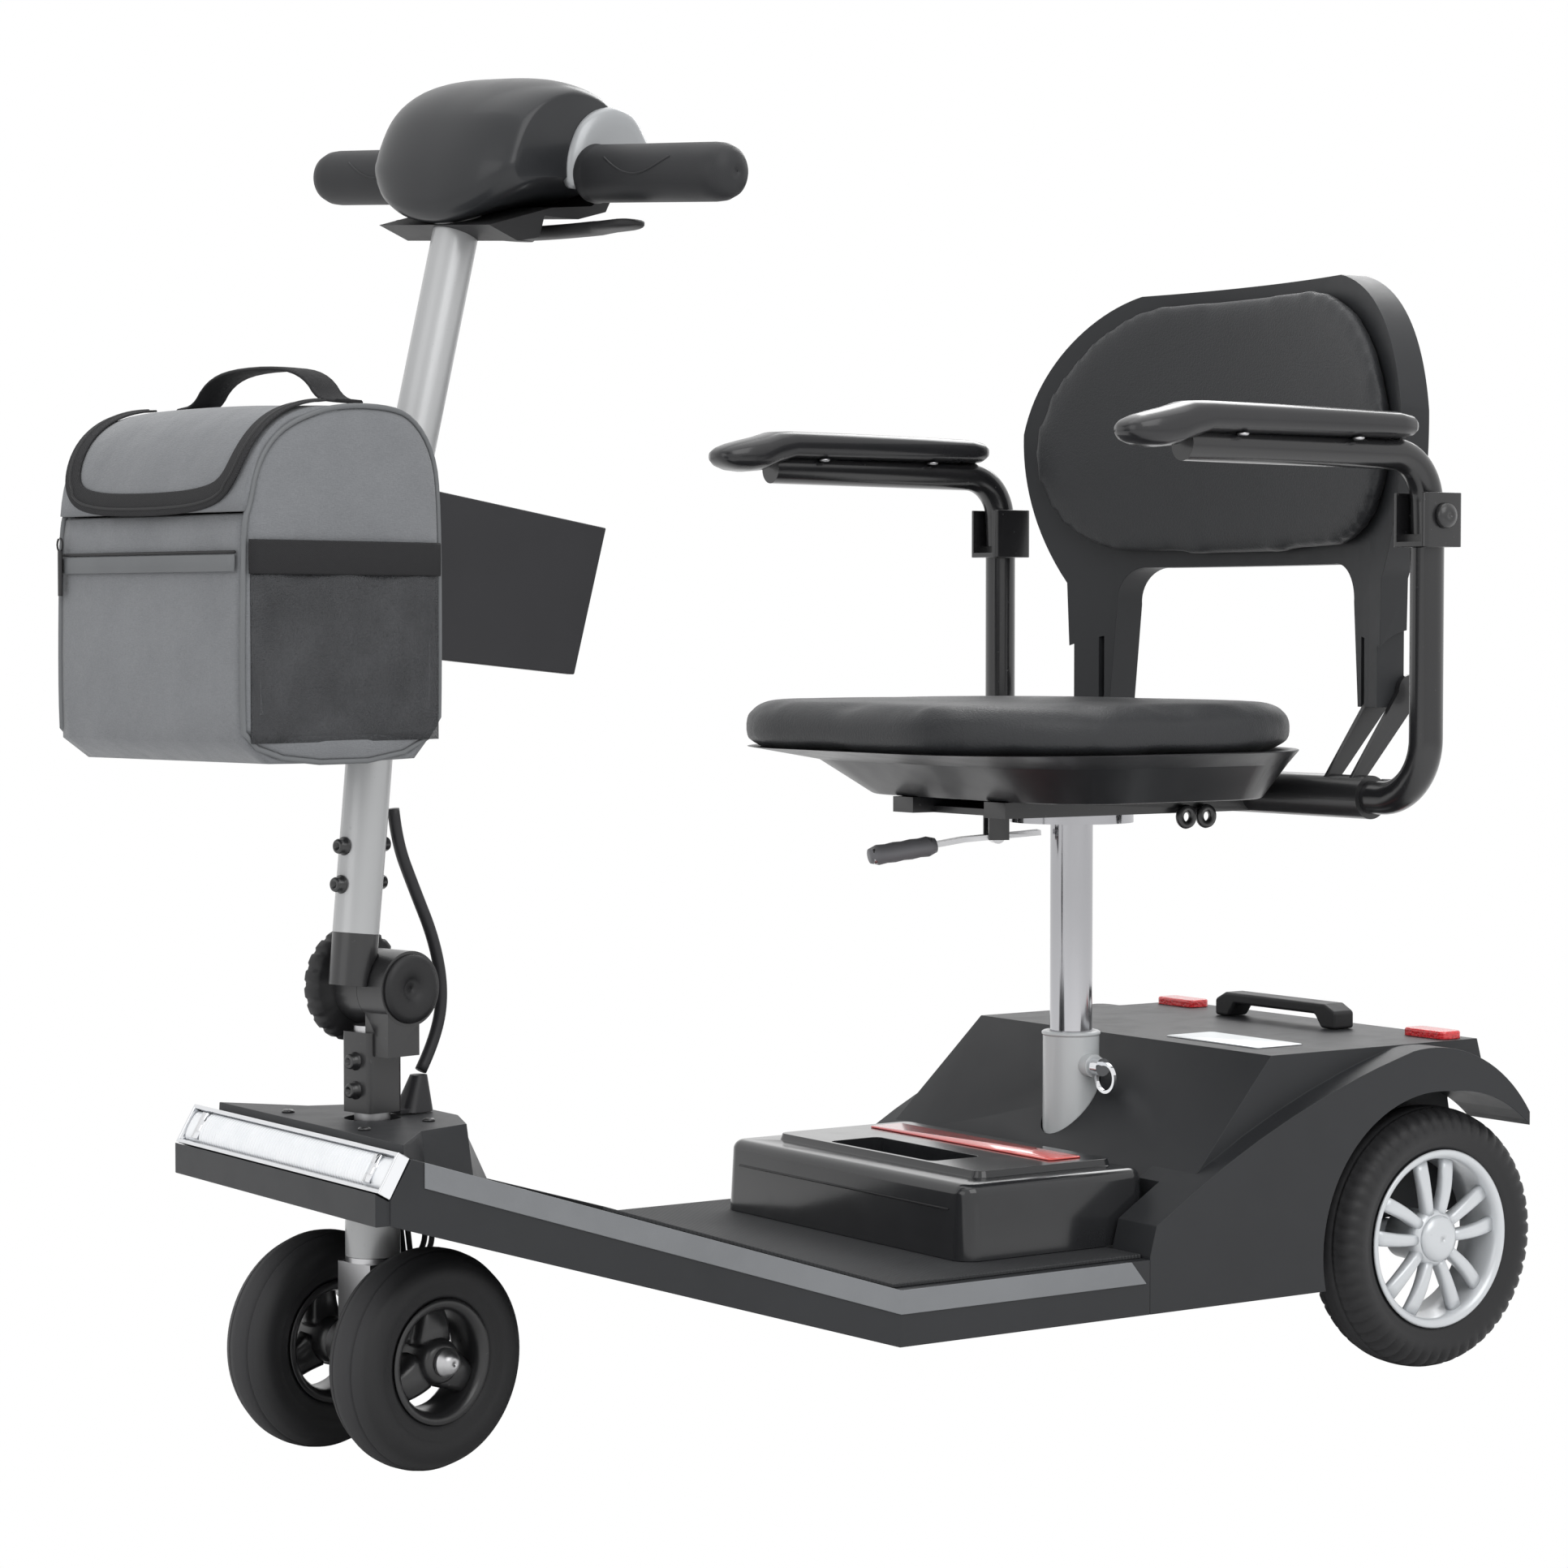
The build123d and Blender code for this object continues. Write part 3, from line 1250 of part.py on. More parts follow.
with BuildPart() as speed_dial:
    with BuildSketch(panel.offset(1.0)):
        with Locations(control_places["speed_dial"]):
            Circle(13)
    extrude(amount=11)
    with BuildSketch(panel.offset(-12)):
        with Locations(control_places["speed_dial"]):
            Circle(stem_size["speed_dial"])
    extrude(amount=14)
speed_dial.part.label = "speed_dial"
export_step(speed_dial.part, "parts/speed_dial.step")

with BuildPart() as key:
    with BuildSketch(panel.offset(1.0)):
        with Locations(control_places["key"]):
            Circle(6)
    extrude(amount=3)
    with BuildSketch(panel.offset(3.5)):
        with Locations(control_places["key"]):
            RectangleRounded(17, 3.5, 1)
    extrude(amount=19)
    with BuildSketch(panel.offset(-12)):
        with Locations(control_places["key"]):
            Circle(stem_size["key"])
    extrude(amount=14)
key.part.label = "key"
export_step(key.part, "parts/key.step")

with BuildPart() as horn_button:
    with BuildSketch(panel.offset(3.0)):
        with Locations(control_places["horn_button"]):
            Circle(8)
    extrude(amount=5)
    with BuildSketch(panel.offset(-12)):
        with Locations(control_places["horn_button"]):
            Circle(stem_size["horn_button"])
    extrude(amount=16)
horn_button.part.label = "horn_button"
export_step(horn_button.part, "parts/horn_button.step")

# ---- bag ----------------------------------------------------------------------------------
bag_shift = -6.0  # the bag hangs a little right of the middle
bag_half = 98.0
bag_wall = 5.0
bag_rear = 17.5
bag_front = 180.0
bag_low = 487.0
lid_hinge = (104.0, 716.0)
bag_plane = steer_side.offset(-bag_shift)
with BuildPart() as bag_body:
    with BuildSketch(bag_plane):
        with BuildLine():
            Polyline((bag_rear + 8, bag_low), (bag_front, bag_low), (bag_front, 646))
            Line((bag_front, 646), (bag_front - 7, 646))
            ThreePointArc((bag_front - 7, 646), (160, 686), (lid_hinge[0], lid_hinge[1] - 7))
            Line((lid_hinge[0], lid_hinge[1] - 7), lid_hinge)
            Line(lid_hinge, (62, 717))
            ThreePointArc((62, 717), (28, 700), (bag_rear, 660))
            Polyline((bag_rear, 660), (bag_rear, bag_low + 10), (bag_rear + 8, bag_low))
        make_face()
    extrude(amount=bag_half, both=True)
    with BuildSketch(bag_plane):
        with BuildLine():
            Polyline((bag_rear + 10, bag_low + bag_wall), (bag_front - bag_wall, bag_low + bag_wall))
            Line((bag_front - bag_wall, bag_low + bag_wall), (bag_front - bag_wall, 640))
            Line((bag_front - bag_wall, 640), (bag_front + 20, 660))
            Line((bag_front + 20, 660), (lid_hinge[0] - 1, lid_hinge[1] + 20))
            Line((lid_hinge[0] - 1, lid_hinge[1] + 20), (lid_hinge[0] - 1, 710))
            Line((lid_hinge[0] - 1, 710), (62, 711))
            ThreePointArc((62, 711), (33, 696), (bag_rear + bag_wall, 658))
            Line((bag_rear + bag_wall, 658), (bag_rear + bag_wall, bag_low + 12))
            Line((bag_rear + bag_wall, bag_low + 12), (bag_rear + 10, bag_low + bag_wall))
        make_face()
    extrude(amount=bag_half - bag_wall, both=True, mode=Mode.SUBTRACT)
    # webbing handle over the top, and the hook plate that hangs the bag from the tube
    handle_plane = Plane(origin=steered(88, bag_shift, 0), x_dir=steer_left, z_dir=steer_forward)
    with BuildSketch(handle_plane):
        with BuildLine():
            Line((-76, 716), (-64, 716))
            ThreePointArc((-64, 716), (0, 741), (64, 716))
            Line((64, 716), (76, 716))
            ThreePointArc((76, 716), (0, 747), (-76, 716))
        make_face()
    extrude(amount=12, both=True)
    with BuildSketch(steer_plan.offset(680)):
        with Locations((bag_rear - 14, 0)):
            Rectangle(44, 30)
    extrude(amount=3)
    with BuildLine(steer_side) as bag_clear:
        FilletPolyline(*tube_route, radius=tube_bend)
    with BuildSketch(Plane(origin=bag_clear.line @ 0, z_dir=bag_clear.line % 0)):
        Circle(tube_r + 0.1)
    sweep(path=bag_clear.line, mode=Mode.SUBTRACT)
bag_body.part.label = "bag_body"
export_step(bag_body.part, "parts/bag_body.step")

with BuildPart() as bag_lid:
    with BuildSketch(bag_plane):
        with BuildLine():
            Line((bag_front + 1, 647), (bag_front - 6.6, 647))
            ThreePointArc((bag_front - 6.6, 647), (160.6, 686.5), (lid_hinge[0] + 0.6, lid_hinge[1] - 6.6))
            Line((lid_hinge[0] + 0.6, lid_hinge[1] - 6.6), (lid_hinge[0] + 0.6, lid_hinge[1] + 3))
            ThreePointArc((lid_hinge[0] + 0.6, lid_hinge[1] + 3), (167, 697), (bag_front + 1, 647))
        make_face()
    extrude(amount=bag_half - 0.5, both=True)
bag_lid.part.label = "bag_lid"
export_step(bag_lid.part, "parts/bag_lid.step")

board_thick = 8.0
with BuildPart() as bag_board:
    with BuildSketch(steer_side):
        Polygon((-28, 672), (-220, 645), (-188, 539), (0, 556), align=None)
    extrude(amount=board_thick / 2, both=True)
    with BuildLine(steer_side) as board_clear:
        FilletPolyline(*tube_route, radius=tube_bend)
    with BuildSketch(Plane(origin=board_clear.line @ 0, z_dir=board_clear.line % 0)):
        Circle(tube_r + 0.2)
    sweep(path=board_clear.line, mode=Mode.SUBTRACT)
bag_board.part.label = "bag_board"
export_step(bag_board.part, "parts/bag_board.step")
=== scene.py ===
"""The looks of a light travel mobility scooter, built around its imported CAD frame, in metres.

+X is forward, +Y is the rider's left and +Z is up. Everything in front of the deck's nose, and
all that the tiller carries, is placed in the turned frame of the steering.
"""

import json
from math import cos, pi, radians, sin, sqrt

import bmesh
import bpy
from mathutils import Matrix, Vector


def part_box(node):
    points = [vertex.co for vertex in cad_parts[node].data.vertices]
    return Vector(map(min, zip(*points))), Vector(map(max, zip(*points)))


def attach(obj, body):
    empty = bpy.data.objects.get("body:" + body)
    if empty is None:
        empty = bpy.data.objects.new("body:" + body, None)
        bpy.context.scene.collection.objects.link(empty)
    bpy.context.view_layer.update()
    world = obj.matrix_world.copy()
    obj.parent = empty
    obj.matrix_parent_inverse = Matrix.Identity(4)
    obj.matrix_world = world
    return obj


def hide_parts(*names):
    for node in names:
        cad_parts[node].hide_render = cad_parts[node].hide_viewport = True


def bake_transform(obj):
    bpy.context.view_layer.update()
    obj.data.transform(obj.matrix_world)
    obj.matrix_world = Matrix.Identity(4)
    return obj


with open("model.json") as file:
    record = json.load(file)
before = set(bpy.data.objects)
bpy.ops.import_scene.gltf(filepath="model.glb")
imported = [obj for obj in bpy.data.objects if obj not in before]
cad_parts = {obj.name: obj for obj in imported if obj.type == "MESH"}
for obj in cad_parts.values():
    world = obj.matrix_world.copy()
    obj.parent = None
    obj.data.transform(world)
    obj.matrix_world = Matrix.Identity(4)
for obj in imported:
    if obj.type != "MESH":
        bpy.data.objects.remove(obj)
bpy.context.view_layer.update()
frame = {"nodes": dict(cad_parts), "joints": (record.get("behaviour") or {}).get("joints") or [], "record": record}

# ---- Camera and studio ---------------------------------------------------------------------
# A long lens stands ahead and to the rider's left, a little above the deck, in a white studio
# with one large soft light over the left side, a fill in front and a rim light behind.
scene = bpy.context.scene
camera = bpy.data.objects.new("camera", bpy.data.cameras.new("camera"))
scene.collection.objects.link(camera)
camera.data.lens = 87.3
camera.data.clip_end = 50
camera.location = (1.600, 2.313, 0.574)
camera_yaw, camera_pitch = radians(55.69), radians(2.38)
sight = Vector((
    -cos(camera_yaw) * cos(camera_pitch), -sin(camera_yaw) * cos(camera_pitch), -sin(camera_pitch)
))
camera.rotation_euler = sight.to_track_quat("-Z", "Y").to_euler()
scene.camera = camera
scene.view_settings.view_transform = "Standard"

for light_name, size, power, place, aim in (
    ("key_light", 2.4, 40, (0.2, 2.6, 2.6), (0, 0, 0.4)),
    ("fill_light", 2.0, 12, (3.2, 0.6, 1.4), (0.2, 0, 0.5)),
    ("rim_light", 1.6, 26, (-2.2, -1.6, 2.4), (0, 0, 0.5)),
    ("top_light", 2.6, 20, (0.0, -0.2, 3.0), (0, 0, 0)),
):
    light = bpy.data.objects.new(light_name, bpy.data.lights.new(light_name, "AREA"))
    light.data.shape = "SQUARE"
    light.data.size = size
    light.data.energy = power
    light.location = place
    light.rotation_euler = (Vector(aim) - Vector(place)).to_track_quat("-Z", "Y").to_euler()
    scene.collection.objects.link(light)
scene.world = bpy.data.worlds.new("studio")
scene.world.use_nodes = True
scene.world.node_tree.nodes["Background"].inputs["Color"].default_value = (1.0, 1.0, 1.0, 1)
scene.world.node_tree.nodes["Background"].inputs["Strength"].default_value = 1.0


def make_mesh(name, points, faces):
    """A mesh object of these points and faces, smooth, with its normals turned outward."""
    mesh = bpy.data.meshes.new(name)
    mesh.from_pydata([tuple(p) for p in points], [], faces)
    work = bmesh.new()
    work.from_mesh(mesh)
    bmesh.ops.remove_doubles(work, verts=work.verts, dist=1e-6)
    bmesh.ops.recalc_face_normals(work, faces=work.faces)
    work.to_mesh(mesh)
    work.free()
    for face in mesh.polygons:
        face.use_smooth = True
    piece = bpy.data.objects.new(name, mesh)
    scene.collection.objects.link(piece)
    return piece


studio_half = 9.0
floor = make_mesh(
    "studio_floor",
    [(-studio_half, -studio_half, 0), (studio_half, -studio_half, 0),
     (studio_half, studio_half, 0), (-studio_half, studio_half, 0)],
    [(0, 1, 2, 3)],
)
floor.visible_camera = False


# ---- Tiller cable --------------------------------------------------------------------------
# One black sheathed control cable leaves the tube above the fold hinge, swings out behind it
# in a slack bow so that the tiller can fold, and goes down into a rubber boot on the deck.
class Socket:
    """A value, colour or vector in a material. Operators on values add Math nodes."""

    def __init__(self, paint, link):
        self.paint = paint
        self.link = link

    def _math(self, operation, first, second=0.0):
        return self.paint.node("ShaderNodeMath", {"operation": operation}, {0: first, 1: second})

    def __add__(self, other):
        return self._math("ADD", self, other)

    def __sub__(self, other):
        return self._math("SUBTRACT", self, other)

    def __rsub__(self, other):
        return self._math("SUBTRACT", other, self)

    def __mul__(self, other):
        return self._math("MULTIPLY", self, other)

    def __truediv__(self, other):
        return self._math("DIVIDE", self, other)

    def __rtruediv__(self, other):
        return self._math("DIVIDE", other, self)

    def __pow__(self, other):
        return self._math("POWER", self, other)

    def __rpow__(self, other):
        return self._math("POWER", other, self)

    def __gt__(self, other):
        return self._math("GREATER_THAN", self, other)

    def __lt__(self, other):
        return self._math("LESS_THAN", self, other)

    def __abs__(self):
        return self._math("ABSOLUTE", self)

    __radd__ = __add__
    __rmul__ = __mul__


class Paint:
    """A material with one Principled shader, filled in by expressions."""

    def __init__(self, name, **settings):
        self.material = bpy.data.materials.new(name)
        self.material.use_nodes = True
        self.tree = self.material.node_tree
        self.shader = self.tree.nodes["Principled BSDF"]
        for socket, value in settings.items():
            self.shader.inputs[socket.replace("_", " ").title().replace("Ior", "IOR")].default_value = value

    def node(self, kind, settings=None, sockets=None, output=0):
        """Any node: its settings first, then the values or links of its sockets."""
        made = self.tree.nodes.new(kind)
        for key, value in (settings or {}).items():
            if key == "stops":
                ramp = made.color_ramp.elements
                while len(ramp) < len(value):
                    ramp.new(0.5)
                for element, (place, colour) in zip(ramp, value):
                    element.position = place
                    element.color = (*colour, 1) if len(colour) == 3 else colour
            else:
                setattr(made, key, value)
        for key, value in (sockets or {}).items():
            if isinstance(value, Socket):
                self.tree.links.new(value.link, made.inputs[key])
            else:
                made.inputs[key].default_value = value
        return Socket(self, made.outputs[output])

    def place(self, scale=(1, 1, 1), turn=(0, 0, 0)):
        """The point on the object, in metres, turned and then scaled."""
        spot = self.node("ShaderNodeTexCoord", output="Object")
        return self.node("ShaderNodeMapping", {}, {"Vector": spot, "Rotation": turn, "Scale": scale})

    def noise(self, scale, detail=3.0, where=None):
        return self.node(
            "ShaderNodeTexNoise", {}, {"Vector": where or self.place(), "Scale": scale, "Detail": detail}
        )

    def cells(self, scale, feature="F1", where=None):
        return self.node(
            "ShaderNodeTexVoronoi", {"feature": feature},
            {"Vector": where or self.place(), "Scale": scale}, "Distance",
        )

    def waves(self, scale, direction="X", where=None, distortion=0.0):
        return self.node(
            "ShaderNodeTexWave", {"bands_direction": direction},
            {"Vector": where or self.place(), "Scale": scale, "Distortion": distortion}, "Fac",
        )

    def mix(self, first, second, share):
        """A colour between two, by a share from 0 to 1."""
        first, second = [c if isinstance(c, Socket) else (*c, 1) for c in (first, second)]
        return self.node("ShaderNodeMix", {"data_type": "RGBA"}, {0: share, 6: first, 7: second}, 2)

    def part(self, axis, where=None):
        """One coordinate of the point, in metres."""
        return self.node("ShaderNodeSeparateXYZ", {}, {0: where or self.place()}, "XYZ".index(axis))

    def clamp(self, value, low, high):
        """0 at or below low, 1 at or above high, and straight between them."""
        return self.node("ShaderNodeMapRange", {}, {0: value, 1: low, 2: high, 3: 0.0, 4: 1.0})

    def feed(self, **links):
        """Links or values for the shader's own sockets, such as base_color or roughness."""
        for socket, value in links.items():
            target = self.shader.inputs[socket.replace("_", " ").title()]
            if isinstance(value, Socket):
                self.tree.links.new(value.link, target)
            else:
                target.default_value = value
        return self

    def bump(self, height, depth, strength=1.0):
        """Relief of this depth, in metres."""
        normal = self.node(
            "ShaderNodeBump", {}, {"Height": height, "Distance": depth, "Strength": strength}, "Normal"
        )
        return self.feed(normal=normal)


def moulded(name, colour, roughness, grain=2600.0, depth=0.00006, coat=0.0, dust=0.25):
    """Moulded plastic: a fine spark texture, faint cloudiness and a dusting where hands and shoes go."""
    paint = Paint(name, specular_ior_level=0.3, coat_weight=coat, coat_roughness=0.12)
    cloud = paint.noise(7.0, 4.0)
    fine = paint.noise(grain, 2.0)
    smudge = paint.clamp(paint.noise(38.0, 6.0), 0.45, 0.75)
    pale = [min(1, c * (1 + dust) + 0.004) for c in colour]
    dark = [c * 0.88 for c in colour]
    paint.feed(base_color=paint.mix(paint.mix(dark, pale, cloud), pale, smudge * 0.35))
    paint.feed(roughness=roughness + (cloud - 0.5) * 0.12 + smudge * 0.06)
    return paint.bump(fine, depth)


def dress(piece, body, slot, paint, *nodes):
    """Gives a piece its body and material, and hides the CAD nodes that it stands for. The slot is not used."""
    piece.data.materials.clear()
    piece.data.materials.append(paint.material)
    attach(piece, body)
    if nodes:
        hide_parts(*nodes)
    return piece


def loft(name, rings, capped=True, looped=False):
    """A skin over rings of points, all with as many points, each ring closed."""
    count = len(rings[0])
    points = [p for ring in rings for p in ring]
    faces = []
    spans = len(rings) if looped else len(rings) - 1
    for i in range(spans):
        a, b = i * count, (i + 1) % len(rings) * count
        for k in range(count):
            n = (k + 1) % count
            faces.append((a + k, a + n, b + n, b + k))
    if capped and not looped:
        faces.append(tuple(reversed(range(count))))
        faces.append(tuple(range(len(points) - count, len(points))))
    return make_mesh(name, points, faces)


def follow(path, outline):
    """Rings of the (across, up) outline carried along a path without twist."""
    rings = []
    side = None
    for i, spot in enumerate(path):
        along = (path[min(i + 1, len(path) - 1)] - path[max(i - 1, 0)]).normalized()
        if side is None:
            guide = Vector((0, 0, 1)) if abs(along.z) < 0.9 else Vector((1, 0, 0))
            side = guide.cross(along).normalized()
        side = (side - along * side.dot(along)).normalized()
        lift = along.cross(side)
        rings.append([spot + side * x + lift * y for x, y in outline])
    return rings


def circle(radius, count=16):
    return [(radius * cos(2 * pi * k / count), radius * sin(2 * pi * k / count)) for k in range(count)]


def joint(name):
    return next(j for j in frame["joints"] if j["name"] == name)


steer_spot = Vector((*joint("steering_turn")["pos_m"][:2], 0))
steer_left = Vector(joint("front_wheel_left_spin")["axis"])
up = Vector((0, 0, 1))
steer_forward = steer_left.cross(up)


def steered(x, y, z):
    """A point ahead of the steering axis, to the left of the turned middle plane, and up."""
    return steer_spot + steer_forward * x + steer_left * y + up * z


cable_route = [
    (-0.020, 0.448), (-0.023, 0.425), (-0.038, 0.393), (-0.057, 0.355), (-0.065, 0.318), (-0.058, 0.286),
    (-0.044, 0.2646),
]
cable_r = 0.00425
route = bpy.data.curves.new("cable_route", "CURVE")
route.dimensions = "3D"
spline = route.splines.new("NURBS")
spline.points.add(len(cable_route) - 1)
for point, (x, z) in zip(spline.points, cable_route):
    point.co = (*steered(x, 0, z), 1)
spline.order_u = 3
spline.use_endpoint_u = True
spline.resolution_u = 10
holder = bpy.data.objects.new("cable_route", route)
scene.collection.objects.link(holder)
bpy.context.view_layer.update()
line = bpy.data.meshes.new_from_object(holder)
cable_path = [v.co.copy() for v in line.vertices]
bpy.data.objects.remove(holder)
cable = loft("tiller_cable_sheath", follow(cable_path, circle(cable_r)))
sheath = moulded("black_sheath", (0.018, 0.018, 0.02), 0.42, 900)
cable.data.materials.append(sheath.material)
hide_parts("tiller_cable")
tuple(steered(-0.03, 0, 0.42))
tuple(steered(-0.05, 0, 0.272))
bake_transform(cable)

# ---- Front fork and axle -------------------------------------------------------------------
# A turned steel stem runs in two ball bearings inside a silver painted head tube. A square
# lower block and a sleeve hold the axle, which carries both small wheels side by side.
node_body = {node: body for body, nodes in frame["record"]["behaviour"]["bodies"].items() for node in nodes}


def coat(paint, *nodes):
    """Gives CAD nodes whose shape is right a material."""
    for node in nodes:
        mesh = frame["nodes"][node].data
        mesh.materials.clear()
        mesh.materials.append(paint.material)


def rounded(node, name, width, slot, paint, angle=32.0, segments=3):
    """A copy of a CAD node with its sharp edges rounded, which stands for the node."""
    work = bmesh.new()
    work.from_mesh(frame["nodes"][node].data)
    bmesh.ops.remove_doubles(work, verts=work.verts, dist=2e-5)
    bmesh.ops.dissolve_limit(work, angle_limit=radians(1.5), verts=work.verts, edges=work.edges)
    mesh = bpy.data.meshes.new(name)
    work.to_mesh(mesh)
    work.free()
    for face in mesh.polygons:
        face.use_smooth = True
    mesh.set_sharp_from_angle(angle=radians(angle))
    piece = bpy.data.objects.new(name, mesh)
    scene.collection.objects.link(piece)
    bevel = piece.modifiers.new("edges", "BEVEL")
    bevel.width = width
    bevel.segments = segments
    bevel.limit_method = "ANGLE"
    bevel.angle_limit = radians(angle)
    bevel.harden_normals = True
    return dress(piece, node_body[node], slot, paint, node)


def metal(name, colour, roughness, grain=420.0, scratch=0.06, orange_peel=0.0):
    """Bare or plated metal, with faint handling marks and, where painted over, orange peel."""
    paint = Paint(name, metallic=1.0)
    marks = paint.noise(grain, 5.0, paint.place((1, 1, 0.12)))
    cloud = paint.noise(9.0)
    paint.feed(base_color=paint.mix([c * 0.9 for c in colour], colour, cloud))
    paint.feed(roughness=roughness + (marks - 0.5) * scratch + (cloud - 0.5) * 0.05)
    return paint.bump(paint.noise(170.0, 2.0) if orange_peel else marks, orange_peel or 0.000008)


def enamel(name, colour, roughness, fleck=0.0):
    """Sprayed paint over steel, glossy on top, with a slight orange peel and small chips."""
    paint = Paint(name, coat_weight=0.35, coat_roughness=0.18, metallic=fleck)
    cloud = paint.noise(11.0, 3.0)
    chips = paint.clamp(paint.noise(260.0, 4.0), 0.70, 0.74)
    base = paint.mix([c * 0.92 for c in colour], [min(1, c * 1.06) for c in colour], cloud)
    paint.feed(base_color=paint.mix(base, [c * 0.55 + 0.1 for c in colour], chips * 0.3))
    paint.feed(roughness=roughness + (cloud - 0.5) * 0.08 + chips * 0.15)
    return paint.bump(paint.noise(240.0, 2.0), 0.00005)


zinc = metal("zinc_plate", (0.52, 0.52, 0.53), 0.34)
silver_paint = enamel("silver_paint", (0.385, 0.39, 0.395), 0.36, fleck=0.35)
black_powder = enamel("black_powder_coat", (0.012, 0.012, 0.013), 0.36)
coat(zinc, "steering_stem", "front_axle", "head_bearings")
coat(silver_paint, "head_tube")

# ---- Front wheels --------------------------------------------------------------------------
# Two small solid tyres on black painted rims with three wide spokes. The tread rounds over to
# plain sidewalls with three moulded rings, and a zinc cap nut closes each hub.


def turned(name, profile, hub, axis, steps=96, shape=None):
    """A piece of revolution. Profile points are (radius, outward), and shape may move them."""
    first = up if abs(axis.z) < 0.5 else Vector((1, 0, 0))
    second = axis.cross(first).normalized()
    first = second.cross(axis)
    rings = []
    for k in range(steps):
        angle = 2 * pi * k / steps
        spoke = first * cos(angle) + second * sin(angle)
        turned_profile = [shape(angle, k, r, w) if shape else (r, w) for r, w in profile]
        rings.append([hub + spoke * r + axis * w for r, w in turned_profile])
    return loft(name, rings, looped=True)


def tyre_rubber(name, colour, hub, tread_r):
    """Moulded rubber, greyer and rougher with wear on the tread than on the sidewall."""
    paint = Paint(name, specular_ior_level=0.35)
    spot = paint.place()
    cloud = paint.noise(30.0, 5.0, spot)
    gap = paint.node("ShaderNodeVectorMath", {"operation": "DISTANCE"}, {0: spot, 1: tuple(hub)}, "Value")
    worn = paint.clamp(gap, tread_r * 0.95, tread_r)
    paint.feed(base_color=paint.mix(colour, [c * 2.0 + 0.008 for c in colour], worn * 0.7 + cloud * 0.25))
    paint.feed(roughness=0.5 + worn * 0.2 + (cloud - 0.5) * 0.15)
    return paint.bump(paint.noise(1500.0, 2.0, spot), 0.00008)


def spoke_bar(hub, axis, angle, inner, outer, widths, depths, outward, bow=0.0, lean=0.0):
    """Rings of one spoke, from the hub to the rim, with rounded edges and a bowed face."""
    across = axis.cross(up).normalized()
    rings = []
    for k in range(7):
        share = k / 6
        turn_now = angle + lean * (1 - share)
        spoke = up * cos(turn_now) + across * sin(turn_now)
        tangent = axis.cross(spoke)
        radius = inner + (outer - inner) * share
        half = (widths[0] + (widths[1] - widths[0]) * share) / 2
        deep = (depths[0] + (depths[1] - depths[0]) * share) / 2
        middle = hub + spoke * radius + axis * (outward + bow * sin(pi * share))
        outline = []
        for m in range(12):
            t = 2 * pi * m / 12
            outline.append(
                middle
                + tangent * half * abs(cos(t)) ** 0.6 * (1 if cos(t) > 0 else -1)
                + axis * deep * abs(sin(t)) ** 0.6 * (1 if sin(t) > 0 else -1)
            )
        rings.append(outline)
    return rings


def joined(name, pieces):
    """Several meshes as one piece."""
    work = bmesh.new()
    for piece in pieces:
        work.from_mesh(piece.data)
        bpy.data.objects.remove(piece)
    mesh = bpy.data.meshes.new(name)
    work.to_mesh(mesh)
    work.free()
    made = bpy.data.objects.new(name, mesh)
    scene.collection.objects.link(made)
    return made


front_tyre = [
    (0.0405, -0.0145), (0.0440, -0.0165), (0.0475, -0.0190), (0.0490, -0.0186), (0.0505, -0.0198),
    (0.0520, -0.0194), (0.0540, -0.0208), (0.0620, -0.0212), (0.0680, -0.0196), (0.0715, -0.0160),
    (0.0738, -0.0110), (0.0742, -0.0100), (0.0730, -0.0092), (0.0750, -0.0082), (0.0758, -0.0030),
]
front_tyre += [(r, -w) for r, w in reversed(front_tyre)]
for hand in ("left", "right"):
    spin = joint("front_wheel_" + hand + "_spin")
    hub = Vector(spin["pos_m"])
    outward = steer_left * (1 if hand == "left" else -1)
    rubber = tyre_rubber("front_tyre_rubber_" + hand, (0.011, 0.011, 0.012), hub, 0.0755)
    tyre = turned("front_tyre_" + hand + "_moulded", front_tyre, hub, outward)
    dress(tyre, "front_wheel_" + hand, "tyre", rubber, "front_tyre_" + hand)
    rim = [
        turned("rim_ring", [
            (0.0400, -0.0145), (0.0400, 0.0145), (0.0425, 0.0168), (0.0432, 0.0172), (0.0425, 0.0182),
            (0.0375, 0.0172), (0.0345, 0.0120), (0.0340, 0.0), (0.0345, -0.0120), (0.0375, -0.0172),
            (0.0425, -0.0182), (0.0432, -0.0172), (0.0425, -0.0168),
        ], hub, outward),
        turned("rim_hub", [
            (0.0062, -0.0225), (0.0130, -0.0225), (0.0160, -0.0120), (0.0160, 0.0130), (0.0145, 0.0175),
            (0.0120, 0.0195), (0.0062, 0.0200),
        ], hub, outward, 48),
    ]
    for k in range(3):
        rings = spoke_bar(
            hub, outward, 2 * pi * k / 3, 0.012, 0.036, (0.030, 0.020), (0.022, 0.016), 0.002, 0.002
        )
        rim.append(loft("rim_spoke", rings))
    dress(joined("front_rim_" + hand + "_cast", rim), "front_wheel_" + hand, "rim_black", black_powder)
    cap = turned("front_cap_nut_" + hand, [
        (0.0005, 0.0300), (0.0045, 0.0292), (0.0078, 0.0268), (0.0088, 0.0235), (0.0100, 0.0228),
        (0.0100, 0.0200), (0.0005, 0.0200),
    ], hub, outward, 36)
    dress(cap, "front_wheel_" + hand, "rim_black", zinc, "front_rim_" + hand)

